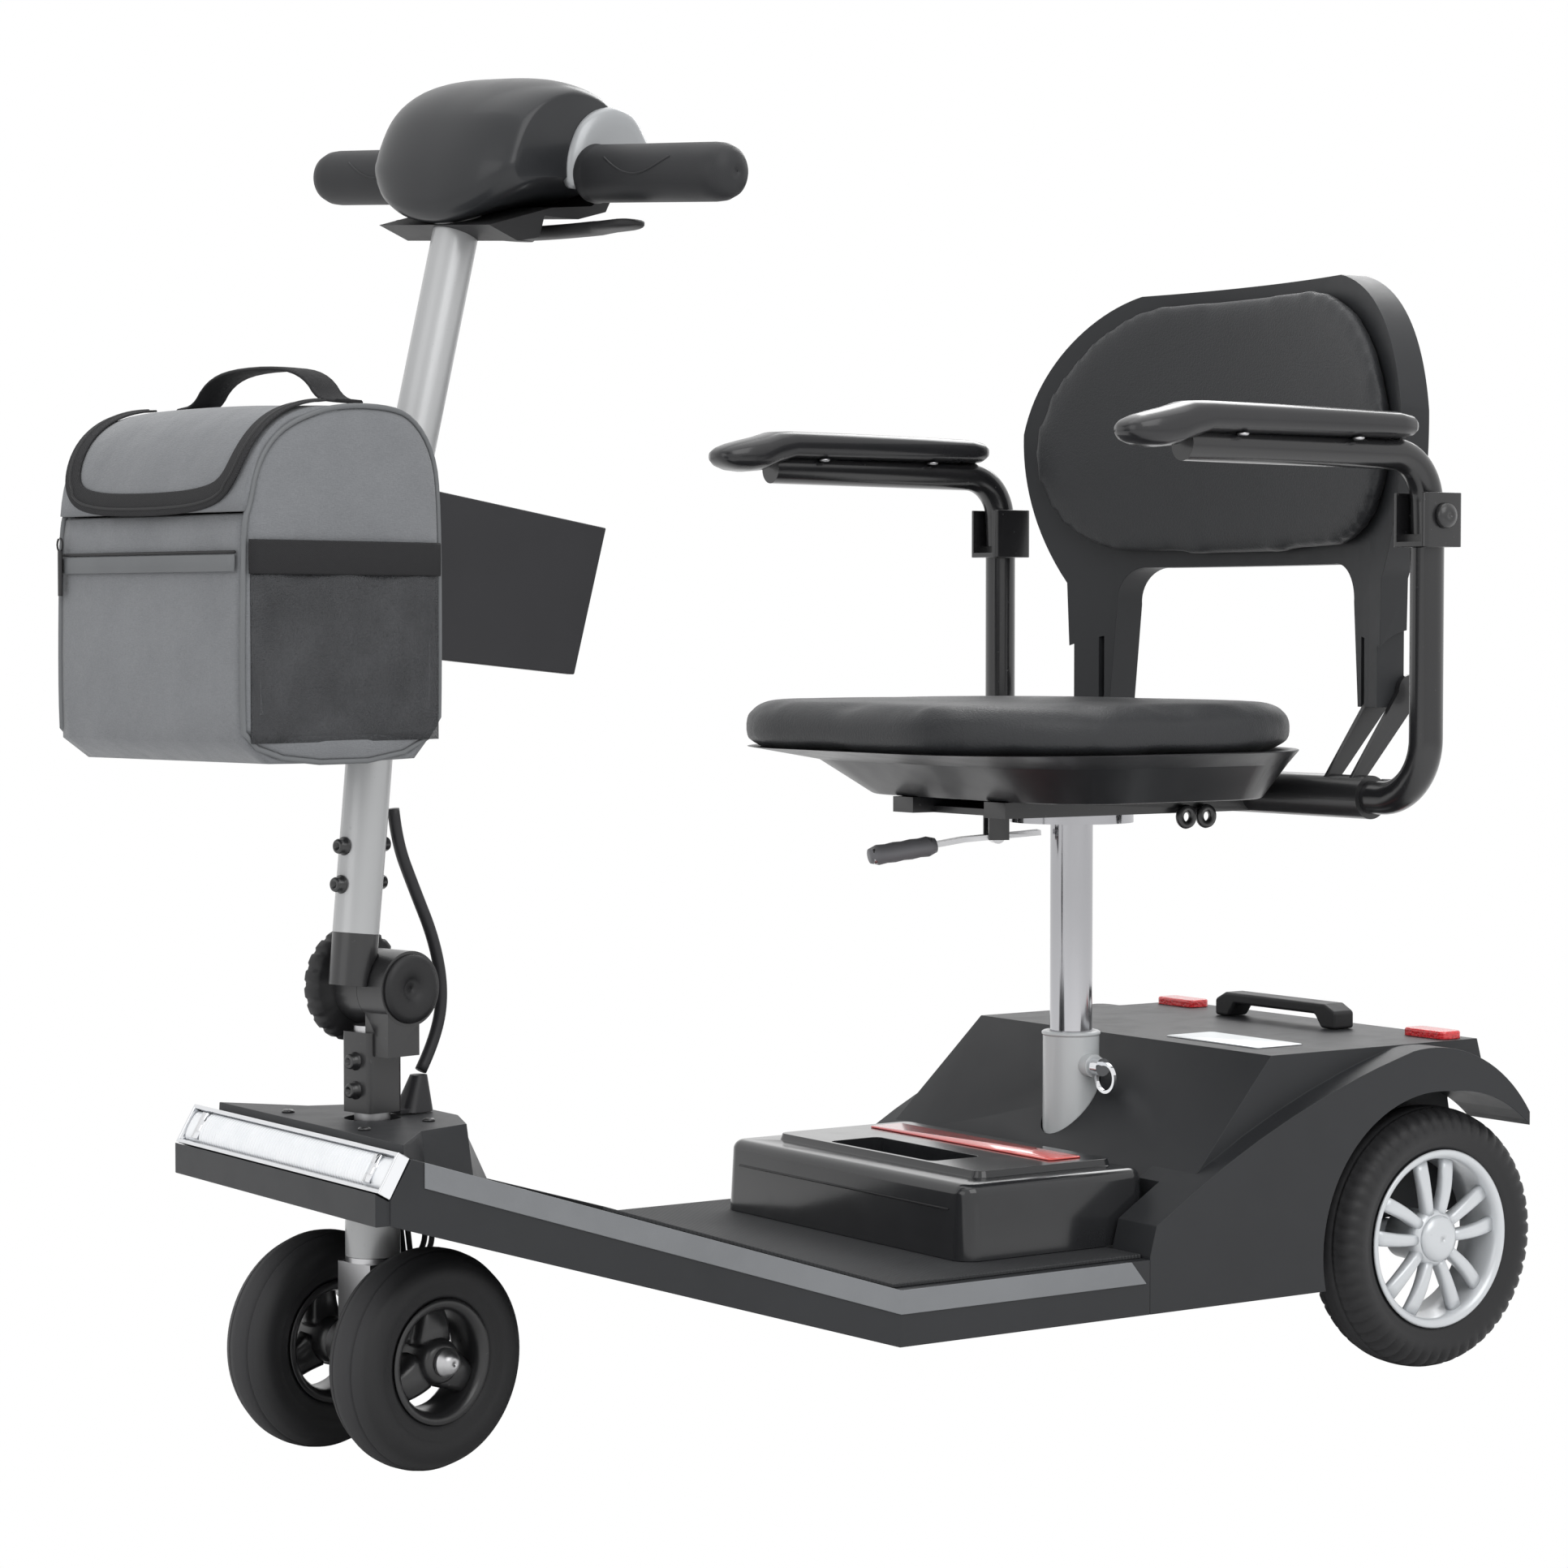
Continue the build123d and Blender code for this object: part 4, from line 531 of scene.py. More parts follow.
# ---- Rear wheels ---------------------------------------------------------------------------
# Larger solid tyres with cross-cut shoulders, on silver painted alloy rims with five pairs of
# spokes, a polished lip and a domed hub cap. The half shafts turn in the motor's gearbox.
rear_tyre = [
    (0.0662, -0.0175), (0.0695, -0.0190), (0.0730, -0.0218), (0.0745, -0.0216), (0.0790, -0.0240),
    (0.0850, -0.0247), (0.0900, -0.0240), (0.0935, -0.0222), (0.0965, -0.0195), (0.0990, -0.0150),
    (0.1003, -0.0105), (0.1006, -0.0095), (0.0992, -0.0085), (0.1009, -0.0075), (0.1013, -0.0020),
]
rear_tyre += [(r, -w) for r, w in reversed(rear_tyre)]
tread_blocks = 54
silver_alloy = enamel("silver_alloy_paint", (0.56, 0.58, 0.60), 0.30, fleck=0.3)


def tread_cut(angle, step, radius, wide):
    """Cuts a groove across the shoulder at every fourth step."""
    if step % 4 == 0 and 0.0895 < radius < 0.1004:
        return radius - 0.0016, wide * 0.955
    return radius, wide


for hand in ("left", "right"):
    side = 1 if hand == "left" else -1
    body = "rear_wheel_" + hand
    hub = Vector(joint(body + "_spin")["pos_m"])
    outward = Vector((0, side, 0))
    rubber = tyre_rubber("rear_tyre_rubber_" + hand, (0.012, 0.012, 0.013), hub, 0.101)
    tyre = turned("rear_tyre_" + hand + "_moulded", rear_tyre, hub, outward, tread_blocks * 4, tread_cut)
    dress(tyre, body, "tyre", rubber, "rear_tyre_" + hand)
    rim = [
        turned("rim_barrel", [
            (0.0658, -0.0182), (0.0658, 0.0172), (0.0680, 0.0192), (0.0692, 0.0212), (0.0680, 0.0222),
            (0.0650, 0.0216), (0.0625, 0.0190), (0.0612, 0.0140), (0.0600, 0.0040), (0.0590, -0.0180),
            (0.0675, -0.0212), (0.0688, -0.0204), (0.0680, -0.0188),
        ], hub, outward),
        turned("rim_hub", [
            (0.0005, -0.0195), (0.0195, -0.0195), (0.0205, 0.0040), (0.0225, 0.0090), (0.0215, 0.0160),
            (0.0180, 0.0186), (0.0005, 0.0190),
        ], hub, outward, 64),
        turned("half_shaft", [
            (0.0005, -0.1560), (0.0085, -0.1560), (0.0085, -0.0190), (0.0005, -0.0190),
        ], hub, outward, 32),
    ]
    for k in range(5):
        for lean in (-1, 1):
            rings = spoke_bar(
                hub, outward, 2 * pi * k / 5 + lean * radians(13), 0.0175, 0.0615,
                (0.0085, 0.0125), (0.0120, 0.0080), 0.0118, 0.0022, lean * radians(5),
            )
            rim.append(loft("rim_spoke", rings))
    dress(joined("rear_rim_" + hand + "_cast", rim), body, "rim_silver", silver_alloy)
    cap = turned("rear_hub_cap_" + hand, [
        (0.0005, 0.0248), (0.0060, 0.0246), (0.0120, 0.0238), (0.0160, 0.0222), (0.0178, 0.0200),
        (0.0182, 0.0180), (0.0005, 0.0180),
    ], hub, outward, 64)
    dress(cap, body, "rim_silver", silver_alloy, "rear_rim_" + hand)

# ---- Deck ----------------------------------------------------------------------------------
# The deck is one dark grey ABS moulding over the welded frame. A lighter grey trim strip is
# pressed along its edge, and a black ribbed rubber mat covers the flat and the ramp.
deck_plastic = moulded("charcoal_abs", (0.0165, 0.0175, 0.0195), 0.44)
strip_plastic = moulded("grey_trim_strip", (0.150, 0.156, 0.164), 0.42, 1800)
rounded("deck_tray", "deck_moulding", 0.0022, "charcoal_plastic", deck_plastic)
rounded("edge_stripe", "deck_edge_trim", 0.0005, "stripe_grey", strip_plastic, segments=2)

mat_rubber = Paint("ribbed_mat_rubber", specular_ior_level=0.3)
mat_spot = mat_rubber.place()
mat_ribs = mat_rubber.waves(105.0, "X", mat_spot)
mat_wear = mat_rubber.noise(14.0, 5.0, mat_spot)
mat_rubber.feed(base_color=mat_rubber.mix((0.018, 0.018, 0.020), (0.042, 0.044, 0.046), mat_wear))
mat_rubber.feed(roughness=0.62 + (mat_wear - 0.5) * 0.2)
mat_rubber.bump(mat_ribs + mat_rubber.noise(900.0, 2.0, mat_spot) * 0.3, 0.0004)
rounded("floor_mat", "floor_mat_ribbed", 0.0008, "rubber", mat_rubber, segments=2)
coat(black_powder, "chassis_frame", "transaxle")
loom = moulded("wire_sheath", (0.02, 0.02, 0.022), 0.5)
coat(loom, "deck_wires")
board_blue = moulded("shrink_wrap", (0.03, 0.08, 0.18), 0.35)
coat(board_blue, "controller", "battery_cells")

# ---- Headlight -----------------------------------------------------------------------------
# A wide light bar closes the deck's nose: a milky ribbed lens in a chromed moulding, with a
# clear end block at each side where the bulb holders show.
chrome = metal("bright_chrome", (0.80, 0.81, 0.83), 0.07, scratch=0.02)
rounded("headlight_frame", "headlight_surround", 0.0008, "chrome", chrome, segments=2)
lens_low, lens_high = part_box("headlight_lens")
lens_lean = radians(30)
lens_out = Vector((cos(lens_lean), 0, sin(lens_lean)))
lens_up = Vector((-sin(lens_lean), 0, cos(lens_lean)))
lens_middle = (lens_low + lens_high) / 2
lens_half_wide = (lens_high.y - lens_low.y) / 2 - 0.001
lens_half_tall = 0.0113
rib_count = 74
lens_paint = Paint("milky_lens", transmission_weight=0.12, coat_weight=0.8, coat_roughness=0.06)
lens_glow = lens_paint.noise(60.0, 2.0)
lens_paint.feed(base_color=lens_paint.mix((0.80, 0.83, 0.86), (0.94, 0.95, 0.97), lens_glow))
lens_paint.feed(roughness=0.16 + (lens_glow - 0.5) * 0.1)
lens_paint.bump(lens_paint.noise(500.0, 2.0), 0.00003)
rings = []
for k in range(rib_count * 4 + 1):
    along = -1 + 2 * k / (rib_count * 4)
    inner = abs(along) < 0.84
    rib = 0.0007 * abs(sin(pi * k / 4)) if inner else 0.0
    ring = []
    for m in range(17):
        tall = -1 + m / 8
        dome = 0.0038 * sqrt(max(0.0, 1 - (abs(tall) ** 2.4))) + rib - 0.0006
        if not inner:
            dome -= 0.0012
        ring.append(lens_middle + Vector((0, along * lens_half_wide, 0))
                    + lens_up * tall * lens_half_tall + lens_out * dome)
    for tall in (1, -1):
        ring.append(lens_middle + Vector((0, along * lens_half_wide, 0))
                    + lens_up * tall * lens_half_tall - lens_out * 0.003)
    rings.append(ring)
lens = loft("headlight_lens_ribbed", rings)
dress(lens, "chassis", "white_lens", lens_paint, "headlight_lens")
for side in (-1, 1):
    clip_spot = lens_middle + Vector((0, side * lens_half_wide * 0.87, 0)) + lens_out * 0.0030
    clip = loft("headlight_end_clip", [
        [clip_spot + Vector((0, y * 0.0042, 0)) + lens_up * z * 0.0098 + lens_out * (o - 0.002)
         for y, z in ((-1, -1), (1, -1), (1, 1), (-1, 1))]
        for o in (0.0, 0.0026)
    ])
    clip.name = "headlight_end_clip_" + ("left" if side > 0 else "right")
    dress(clip, "chassis", "chrome", chrome)

# ---- Steering cover ------------------------------------------------------------------------
# A faceted ABS cover is screwed over the head tube on the ramp. Its top carries a thin round
# dust washer, and four small screws hold its flange.
rounded("steering_cover", "steering_cover_moulding", 0.0025, "charcoal_plastic", deck_plastic, 25.0)
cover_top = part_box("steering_cover")[1].z
screw_head = [(0.0002, 0.0022), (0.0030, 0.0020), (0.0042, 0.0012), (0.0045, 0.0), (0.0002, 0.0)]
for k, (x, y) in enumerate(((0.036, 0.056), (0.036, -0.056), (-0.022, 0.040), (-0.022, -0.040))):
    place = Vector((steer_spot.x + x, y, cover_top + 0.0001))
    screw = turned("cover_screw_%d" % (k + 1), screw_head, place, up, 20)
    dress(screw, "chassis", "black_steel", black_powder)

# ---- Motor cover ---------------------------------------------------------------------------
# One large ABS moulding covers the motor and both wheels: a flat-topped hump with a sloping
# front, and a fender each side that sweeps down to the deck.
rounded("rear_cover", "rear_cover_moulding", 0.0035, "charcoal_plastic", deck_plastic, 24.0)
red_plastic = Paint("red_reflector", coat_weight=0.7, coat_roughness=0.1)
prisms = red_plastic.cells(420.0)
red_plastic.feed(base_color=red_plastic.mix((0.30, 0.006, 0.010), (0.62, 0.015, 0.020), prisms * 2.0))
red_plastic.feed(roughness=0.16 + prisms * 0.1)
red_plastic.bump(prisms, 0.0004)
coat(red_plastic, "tail_lights", "horn_button")
fine_black = moulded("black_textured_plastic", (0.014, 0.014, 0.015), 0.46, 2200, 0.0001)
rounded("carry_grip", "carry_grip_moulding", 0.0025, "black_plastic", fine_black)
cover_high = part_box("rear_cover")[1]


def plate(name, middle, across, along, half_wide, half_long, thick, corner):
    """A thin plate with round corners and a softened rim, lying on a surface."""
    normal = across.cross(along).normalized()
    outline = []
    for k in range(40):
        t = 2 * pi * k / 40
        x = (half_wide - corner) * (1 if cos(t) > 0 else -1) + corner * cos(t)
        y = (half_long - corner) * (1 if sin(t) > 0 else -1) + corner * sin(t)
        outline.append((x, y))
    rings = []
    for lift, inset in ((0.0, 0.0), (thick * 0.6, 0.0), (thick, thick * 0.5)):
        rings.append([
            middle + across * x * (1 - inset / half_wide) + along * y * (1 - inset / half_long)
            + normal * lift
            for x, y in outline
        ])
    return loft(name, rings)


forward, leftward = Vector((1, 0, 0)), Vector((0, 1, 0))
plate_silver = metal("brushed_plate", (0.62, 0.64, 0.65), 0.42, 900)
badge = plate(
    "blank_plate", Vector((cover_high.x - 0.183, 0.085, cover_high.z + 0.0001)),
    forward, leftward, 0.024, 0.054, 0.0009, 0.004,
)
dress(badge, "chassis", "silver_paint", plate_silver)

# ---- Seat post socket ----------------------------------------------------------------------
# A pale painted steel socket stands on the frame. A sprung pull pin with a split ring locks the
# chromed post at one of its heights.
pale_paint = enamel("pale_grey_paint", (0.50, 0.52, 0.53), 0.26)
coat(pale_paint, "seat_socket")
post_chrome = metal("post_chrome", (0.50, 0.50, 0.52), 0.12, scratch=0.05)
coat(post_chrome, "seat_post")
coat(chrome, "socket_pin")
post_spot = Vector((*joint("seat_swivel")["pos_m"][:2], 0))
socket_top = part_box("seat_socket")[1].z
lip = turned("socket_lip", [
    (0.0166, 0.0), (0.0222, 0.0), (0.0230, 0.0010), (0.0228, 0.0026), (0.0215, 0.0034), (0.0166, 0.0034),
], Vector((post_spot.x, 0, socket_top)), up, 64)
dress(lip, "chassis", "white_paint", pale_paint)
stop_bolt = turned("socket_stop_bolt", [
    (0.0002, 0.0080), (0.0030, 0.0078), (0.0046, 0.0062), (0.0050, 0.0040), (0.0062, 0.0036), (0.0062, 0.0),
    (0.0002, 0.0),
], Vector((post_spot.x, -0.0221, socket_top - 0.050)), -leftward, 24)
dress(stop_bolt, "chassis", "steel", zinc)

# ---- Battery box ---------------------------------------------------------------------------
# The lift-off battery is a glossy black box with a raised lid. A deep recess in the lid is the
# carrying handle, and a translucent red inlay, with a painted highlight towards the left, runs across behind it.
gloss_black = moulded("gloss_black_abs", (0.014, 0.0145, 0.016), 0.16, 300, 0.00002, coat=0.5, dust=0.3)
rounded("battery_case", "battery_box_moulding", 0.0030, "gloss_black", gloss_black, 28.0)
case_low, case_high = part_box("battery_case")
inlay_paint = Paint("red_inlay", coat_weight=0.9, coat_roughness=0.05)
inlay_spot = inlay_paint.place()
inlay_cloud = inlay_paint.noise(34.0, 3.0, inlay_spot)
# painted highlight: the red inlay is painted paler and pinker towards the rider's left (+Y), the side that the key
# light and the camera face
inlay_painted_highlight = inlay_paint.clamp(inlay_paint.part("Y", inlay_spot), -0.10, 0.10)
inlay_paint.feed(base_color=inlay_paint.mix(
    inlay_paint.mix((0.62, 0.03, 0.03), (0.80, 0.10, 0.08), inlay_painted_highlight),
    (0.45, 0.015, 0.018), inlay_cloud * 0.5,
))
inlay_paint.feed(roughness=0.14 + inlay_cloud * 0.12)
inlay_paint.bump(inlay_paint.noise(300.0, 2.0, inlay_spot), 0.00002)
inlay = plate(
    "battery_red_inlay", Vector((case_low.x + 0.047, 0, case_high.z + 0.0002)),
    forward, leftward, 0.0155, 0.114, 0.0012, 0.003,
)
dress(inlay, "battery", "red_lens", inlay_paint)
seam = loft("battery_lid_seam", follow(
    [Vector((x, y, case_low.z + 0.036)) for x, y in (
        (case_high.x - 0.0016, -0.135), (case_high.x - 0.0016, 0.0), (case_high.x - 0.0016, 0.135))],
    circle(0.0008, 8),
))
dress(seam, "battery", "gloss_black", fine_black)

# ---- Swivel seat frame ---------------------------------------------------------------------
# A powder coated frame turns on the post's flange. It carries the tub, the sockets that the
# arms slide in, the backrest's ears and a release lever with a grey sleeve.
rounded("seat_frame", "seat_frame_welded", 0.0012, "black_steel", black_powder, 38.0, 2)
lever_zinc = metal("lever_zinc", (0.60, 0.60, 0.61), 0.3)
rounded("swivel_lever", "swivel_lever_bar", 0.0010, "steel", lever_zinc, 38.0, 2)
lever_angle = radians(-25)
lever_dir = Vector((cos(lever_angle), sin(lever_angle), 0))
sleeve_start = Vector((post_spot.x, 0, 0)) + lever_dir * 0.108 + up * 0.4047
sleeve_end = Vector((post_spot.x, 0, 0)) + lever_dir * 0.160 + up * 0.3965
sleeve_path = [sleeve_start.lerp(sleeve_end, k / 8) for k in range(9)]
grey_sleeve = moulded("grey_sleeve", (0.16, 0.16, 0.17), 0.55, 1200)
sleeve_rings = []
for k, ring in enumerate(follow(sleeve_path, [(0.0118 * cos(t) * (1 + 0.1 * cos(t) ** 2), 0.0078 * sin(t))
                                             for t in (2 * pi * m / 20 for m in range(20))])):
    middle = sleeve_path[k]
    size = 0.72 if k in (0, 8) else (1.02 if k % 2 else 0.95)
    sleeve_rings.append([middle + (p - middle) * size for p in ring])
dress(loft("swivel_lever_sleeve", sleeve_rings), "swivel_lever", "grip_rubber", grey_sleeve)
for k, x in enumerate((-0.052, -0.072)):
    spot = Vector((post_spot.x + x, 0.0755, 0.4275))
    lug = turned("seat_frame_lug_%d" % (k + 1), [
        (0.0040, -0.0020), (0.0088, -0.0020), (0.0094, 0.0), (0.0088, 0.0020), (0.0040, 0.0020),
    ], spot, leftward, 32)
    dress(lug, "seat", "black_steel", black_powder)
black_knob = [
    (0.0002, 0.0160), (0.0100, 0.0156), (0.0122, 0.0140), (0.0126, 0.0040), (0.0110, 0.0020), (0.0060, 0.0),
    (0.0002, 0.0),
]


def fluted(angle, step, radius, wide):
    """Finger flutes round a knob's rim."""
    return (radius - 0.0011 * (step % 8 < 3), wide) if radius > 0.0105 else (radius, wide)


bolt_low, bolt_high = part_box("clamp_bolts")
for side, name in ((1, "left"), (-1, "right")):
    spot = Vector((bolt_low.x + 0.001, side * 0.180, (bolt_low.z + bolt_high.z) / 2))
    knob = turned("arm_clamp_knob_" + name, black_knob, spot, -forward, 64, fluted)
    dress(knob, "seat", "black_plastic", fine_black, *(["clamp_bolts"] if side > 0 else []))

# ---- Seat tub and cushion ------------------------------------------------------------------
# A moulded tub carries a foam cushion. Its dark grey vinyl is stretched over the foam, so the
# top crowns a little and the edge rolls under to the tub.
tub_plastic = moulded("satin_tub_plastic", (0.013, 0.0135, 0.015), 0.36, 1400, 0.00004, coat=0.1)
rounded("seat_pan", "seat_tub", 0.0020, "gloss_black", tub_plastic, 24.0)


def vinyl_cloth(name, colour):
    """Upholstery vinyl: pebbled grain, a soft sheen and slight paling where it is rubbed."""
    paint = Paint(name, specular_ior_level=0.35, sheen_weight=0.03, sheen_roughness=0.4)
    spot = paint.place()
    grain = paint.cells(820.0, "SMOOTH_F1", spot)
    creases = paint.cells(300.0, "DISTANCE_TO_EDGE", spot)
    cloud = paint.noise(12.0, 4.0, spot)
    paint.feed(base_color=paint.mix([c * 0.85 for c in colour], [c * 1.25 for c in colour], cloud))
    paint.feed(roughness=0.40 + (cloud - 0.5) * 0.14 + grain * 0.12)
    return paint.bump(grain * 0.7 + paint.clamp(creases, 0.0, 0.12) * 0.3, 0.00025)


def stuffed(name, node, shrink, swell, body, slot, paint, voxel=0.005, smoothing=8):
    """A foam pad blown up inside its cover by cloth simulation, starting from its CAD solid."""
    source = frame["nodes"][node]
    mesh = source.data.copy()
    mesh.name = name
    pad = bpy.data.objects.new(name, mesh)
    scene.collection.objects.link(pad)
    low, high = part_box(node)
    middle = (low + high) / 2
    for vertex in mesh.vertices:
        for axis in range(3):
            half = (high[axis] - low[axis]) / 2
            vertex.co[axis] = middle[axis] + (vertex.co[axis] - middle[axis]) * (1 - shrink / half)
    bpy.context.view_layer.objects.active = pad
    remesh = pad.modifiers.new("remesh", "REMESH")
    remesh.mode = "VOXEL"
    remesh.voxel_size = voxel
    settle(pad, "remesh")
    start = [v.co.copy() for v in pad.data.vertices]
    cloth = pad.modifiers.new("cloth", "CLOTH")
    cloth.settings.use_pressure = True
    cloth.settings.uniform_pressure_force = 4.0
    cloth.settings.effector_weights.gravity = 0
    for step in range(1, 21):
        scene.frame_set(step)
    shape = pad.evaluated_get(bpy.context.evaluated_depsgraph_get())
    blown = [v.co.copy() for v in shape.data.vertices]
    pad.modifiers.remove(cloth)
    scene.frame_set(1)
    for vertex, before, after in zip(pad.data.vertices, start, blown):
        move = after - before
        vertex.co = before + move * min(1.0, swell / max(move.length, 1e-9))
    smooth = pad.modifiers.new("smooth", "SMOOTH")
    smooth.factor = 0.5
    smooth.iterations = smoothing
    settle(pad, "smooth")
    for face in pad.data.polygons:
        face.use_smooth = True
    return dress(pad, body, slot, paint, node)


def settle(piece, modifier):
    """Makes what a modifier does part of the mesh."""
    shape = piece.evaluated_get(bpy.context.evaluated_depsgraph_get())
    made = bpy.data.meshes.new_from_object(shape)
    piece.modifiers.remove(piece.modifiers[modifier])
    piece.data = made


seat_vinyl = vinyl_cloth("dark_grey_vinyl", (0.020, 0.021, 0.023))
stuffed("seat_cushion_cover", "seat_cushion", 0.003, 0.007, "seat", "vinyl", seat_vinyl)
# ---- Backrest ------------------------------------------------------------------------------
# A blow-moulded shell curves round the back on two legs, with an open space between them. A
# foam pad in the same vinyl is bonded to its front, with a rolled edge.
rounded("backrest_shell", "backrest_moulding", 0.0060, "black_plastic", deck_plastic, 38.0, 4)
stuffed("backrest_pad_cover", "backrest_pad", 0.0010, 0.002, "backrest", "vinyl", seat_vinyl, 0.0045, 24)
hinge_spot = Vector(joint("backrest_fold")["pos_m"])
hinge_cap = [
    (0.0002, 0.0062), (0.0050, 0.0060), (0.0086, 0.0044), (0.0094, 0.0020), (0.0094, 0.0), (0.0002, 0.0),
]
for side, name in ((1, "left"), (-1, "right")):
    spot = Vector((hinge_spot.x, side * 0.2042, hinge_spot.z))
    cap = turned("backrest_bolt_" + name, hinge_cap, spot, leftward * side, 32)
    dress(cap, "seat", "black_steel", black_powder)

# ---- Arms ----------------------------------------------------------------------------------
# Each arm is a bent steel tube that slides in the seat frame, and a second tube that flips up
# in its bracket. The pad is a glossy self-skinned foam with a drooping front end.
tube_black = enamel("arm_tube_black", (0.010, 0.010, 0.011), 0.24)
pad_skin = moulded("arm_pad_skin", (0.013, 0.013, 0.0145), 0.28, 700, 0.00005, coat=0.4)
# along the pad from its rear end: distance, middle's height over the tube, height and width
pad_stations = (
    (0.0000, 0.0200, 0.0060, 0.020), (0.0020, 0.0200, 0.0120, 0.031), (0.0070, 0.0200, 0.0175, 0.038),
    (0.0200, 0.0204, 0.0205, 0.041), (0.0700, 0.0208, 0.0214, 0.042), (0.1400, 0.0212, 0.0224, 0.042),
    (0.2000, 0.0212, 0.0230, 0.042), (0.2150, 0.0184, 0.0270, 0.042), (0.2280, 0.0140, 0.0280, 0.042),
    (0.2420, 0.0118, 0.0260, 0.040), (0.2540, 0.0108, 0.0220, 0.037), (0.2620, 0.0106, 0.0165, 0.031),
    (0.2670, 0.0108, 0.0100, 0.022), (0.2690, 0.0110, 0.0040, 0.010),
)
for side, name in ((1, "left"), (-1, "right")):
    rounded("arm_slide_" + name, "arm_slide_tube_" + name, 0.0012, "black_steel", tube_black, 38.0, 2)
    coat(tube_black, "armrest_" + name)
    pad_low, pad_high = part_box("arm_pad_" + name)
    pad_middle = (pad_low + pad_high) / 2
    rings = []
    for along, middle_z, tall, wide in pad_stations:
        ring = []
        for m in range(28):
            t = 2 * pi * m / 28
            y = abs(cos(t)) ** 0.7 * (1 if cos(t) > 0 else -1) * wide / 2
            z = abs(sin(t)) ** 0.7 * (1 if sin(t) > 0 else -1) * tall / 2
            ring.append(Vector((pad_low.x + along, pad_middle.y + y, pad_low.z + 0.002 + middle_z + z)))
        rings.append(ring)
    pad = loft("arm_pad_skin_" + name, rings)
    dress(pad, "armrest_" + name, "gloss_black", pad_skin, "arm_pad_" + name)
    pivot = Vector(joint("arm_flip_" + name)["pos_m"])
    cap = turned("arm_pivot_cap_" + name, hinge_cap, pivot + leftward * side * 0.0181, leftward * side, 32)
    dress(cap, "arm_slide_" + name, "black_steel", black_powder)
    for k, x in enumerate((0.060, 0.170)):
        spot = Vector((pad_low.x + x, pivot.y + 0.0140, pad_low.z + 0.0122))
        screw = turned("arm_pad_screw_%s_%d" % (name, k + 1), screw_head, spot, -up, 20)
        dress(screw, "armrest_" + name, "black_steel", zinc)

# ---- Fold hinge and tiller tube ------------------------------------------------------------
# Two black hinge halves meet on one bolt. A large fluted knob on the right locks them, and cap
# screws hold the silver painted tube, which bends back towards the rider.
rounded("steering_post", "steering_post_casting", 0.0022, "black_steel", black_powder, 38.0)
rounded("tiller_socket", "tiller_hinge_casting", 0.0022, "black_steel", black_powder, 38.0)
rounded("cable_boot", "cable_boot_moulding", 0.0030, "rubber", sheath)
coat(silver_paint, "tiller_tube")
hinge_height = 0.326
knob_hub = steered(-0.009, -0.024, hinge_height)


def knob_flutes(angle, step, radius, wide):
    """Shallow flutes round the fold knob's rim."""
    return (radius - 0.0014 * (step % 8 < 3), wide) if radius > 0.037 else (radius, wide)


knob = turned("fold_knob_fluted", [
    (0.0005, -0.0490), (0.0058, -0.0490), (0.0058, -0.0038), (0.0198, -0.0036), (0.0198, 0.0), (0.0350, 0.0),
    (0.0388, 0.0018), (0.0398, 0.0045), (0.0398, 0.0105), (0.0384, 0.0130), (0.0360, 0.0139),
    (0.0310, 0.0136), (0.0290, 0.0112), (0.0120, 0.0106), (0.0100, 0.0125), (0.0005, 0.0128),
], knob_hub, -steer_left, 160, knob_flutes)
dress(knob, "fold_knob", "black_plastic", fine_black, "fold_knob")
hinge_cover = turned("hinge_cap_left", [
    (0.0005, 0.0008), (0.0050, 0.0008), (0.0075, 0.0020), (0.0095, 0.0036), (0.0190, 0.0040),
    (0.0232, 0.0026), (0.0240, 0.0), (0.0005, -0.0005),
], steered(-0.009, 0.030, hinge_height), steer_left, 64)
dress(hinge_cover, "steering", "black_steel", fine_black)
cap_screw = [
    (0.0003, 0.0035), (0.0020, 0.0036), (0.0026, 0.0062), (0.0046, 0.0060), (0.0052, 0.0048),
    (0.0052, 0.0008), (0.0064, 0.0004), (0.0064, -0.0006), (0.0003, -0.0008),
]
for k, (side, x, z, body) in enumerate((
    (1, 0.0270, 0.398, "tiller"), (1, 0.0242, 0.424, "tiller"), (-1, -0.0052, 0.398, "tiller"),
    (-1, -0.0080, 0.424, "tiller"), (1, 0.0152, 0.256, "steering"), (1, 0.0152, 0.276, "steering"),
    (-1, -0.0152, 0.256, "steering"), (-1, -0.0152, 0.276, "steering"),
)):
    screw = turned("cap_screw_%d" % (k + 1), cap_screw, steered(x, 0, z), steer_forward * side, 24)
    dress(screw, body, "black_steel", black_powder)

# ---- Control head --------------------------------------------------------------------------
# A smooth two-part housing sits on the tube's end. The satin upper shell narrows to the grips
# and its lower edge curves up there, over a black lower cover. A silver trim closes each side.
head_centre = steered(-0.122, 0, 0.893)
bar_roll = radians(4)
bar_left = steer_left * cos(bar_roll) - up * sin(bar_roll)
bar_up = steer_forward.cross(bar_left)


def on_head(x, y, z):
    """A point ahead of the head's middle, to its left and above it."""
    return head_centre + steer_forward * x + bar_left * y + bar_up * z


def softened(points, times, closed=True):
    """The outline with its corners cut, twice as many points each time."""
    for _ in range(times):
        fresh = [] if closed else [points[0]]
        for a, b in zip(points, points[1:] + (points[:1] if closed else [])):
            fresh.append(tuple(p * 0.75 + q * 0.25 for p, q in zip(a, b)))
            fresh.append(tuple(p * 0.25 + q * 0.75 for p, q in zip(a, b)))
        points = fresh if closed else fresh + [points[-1]]
    return points


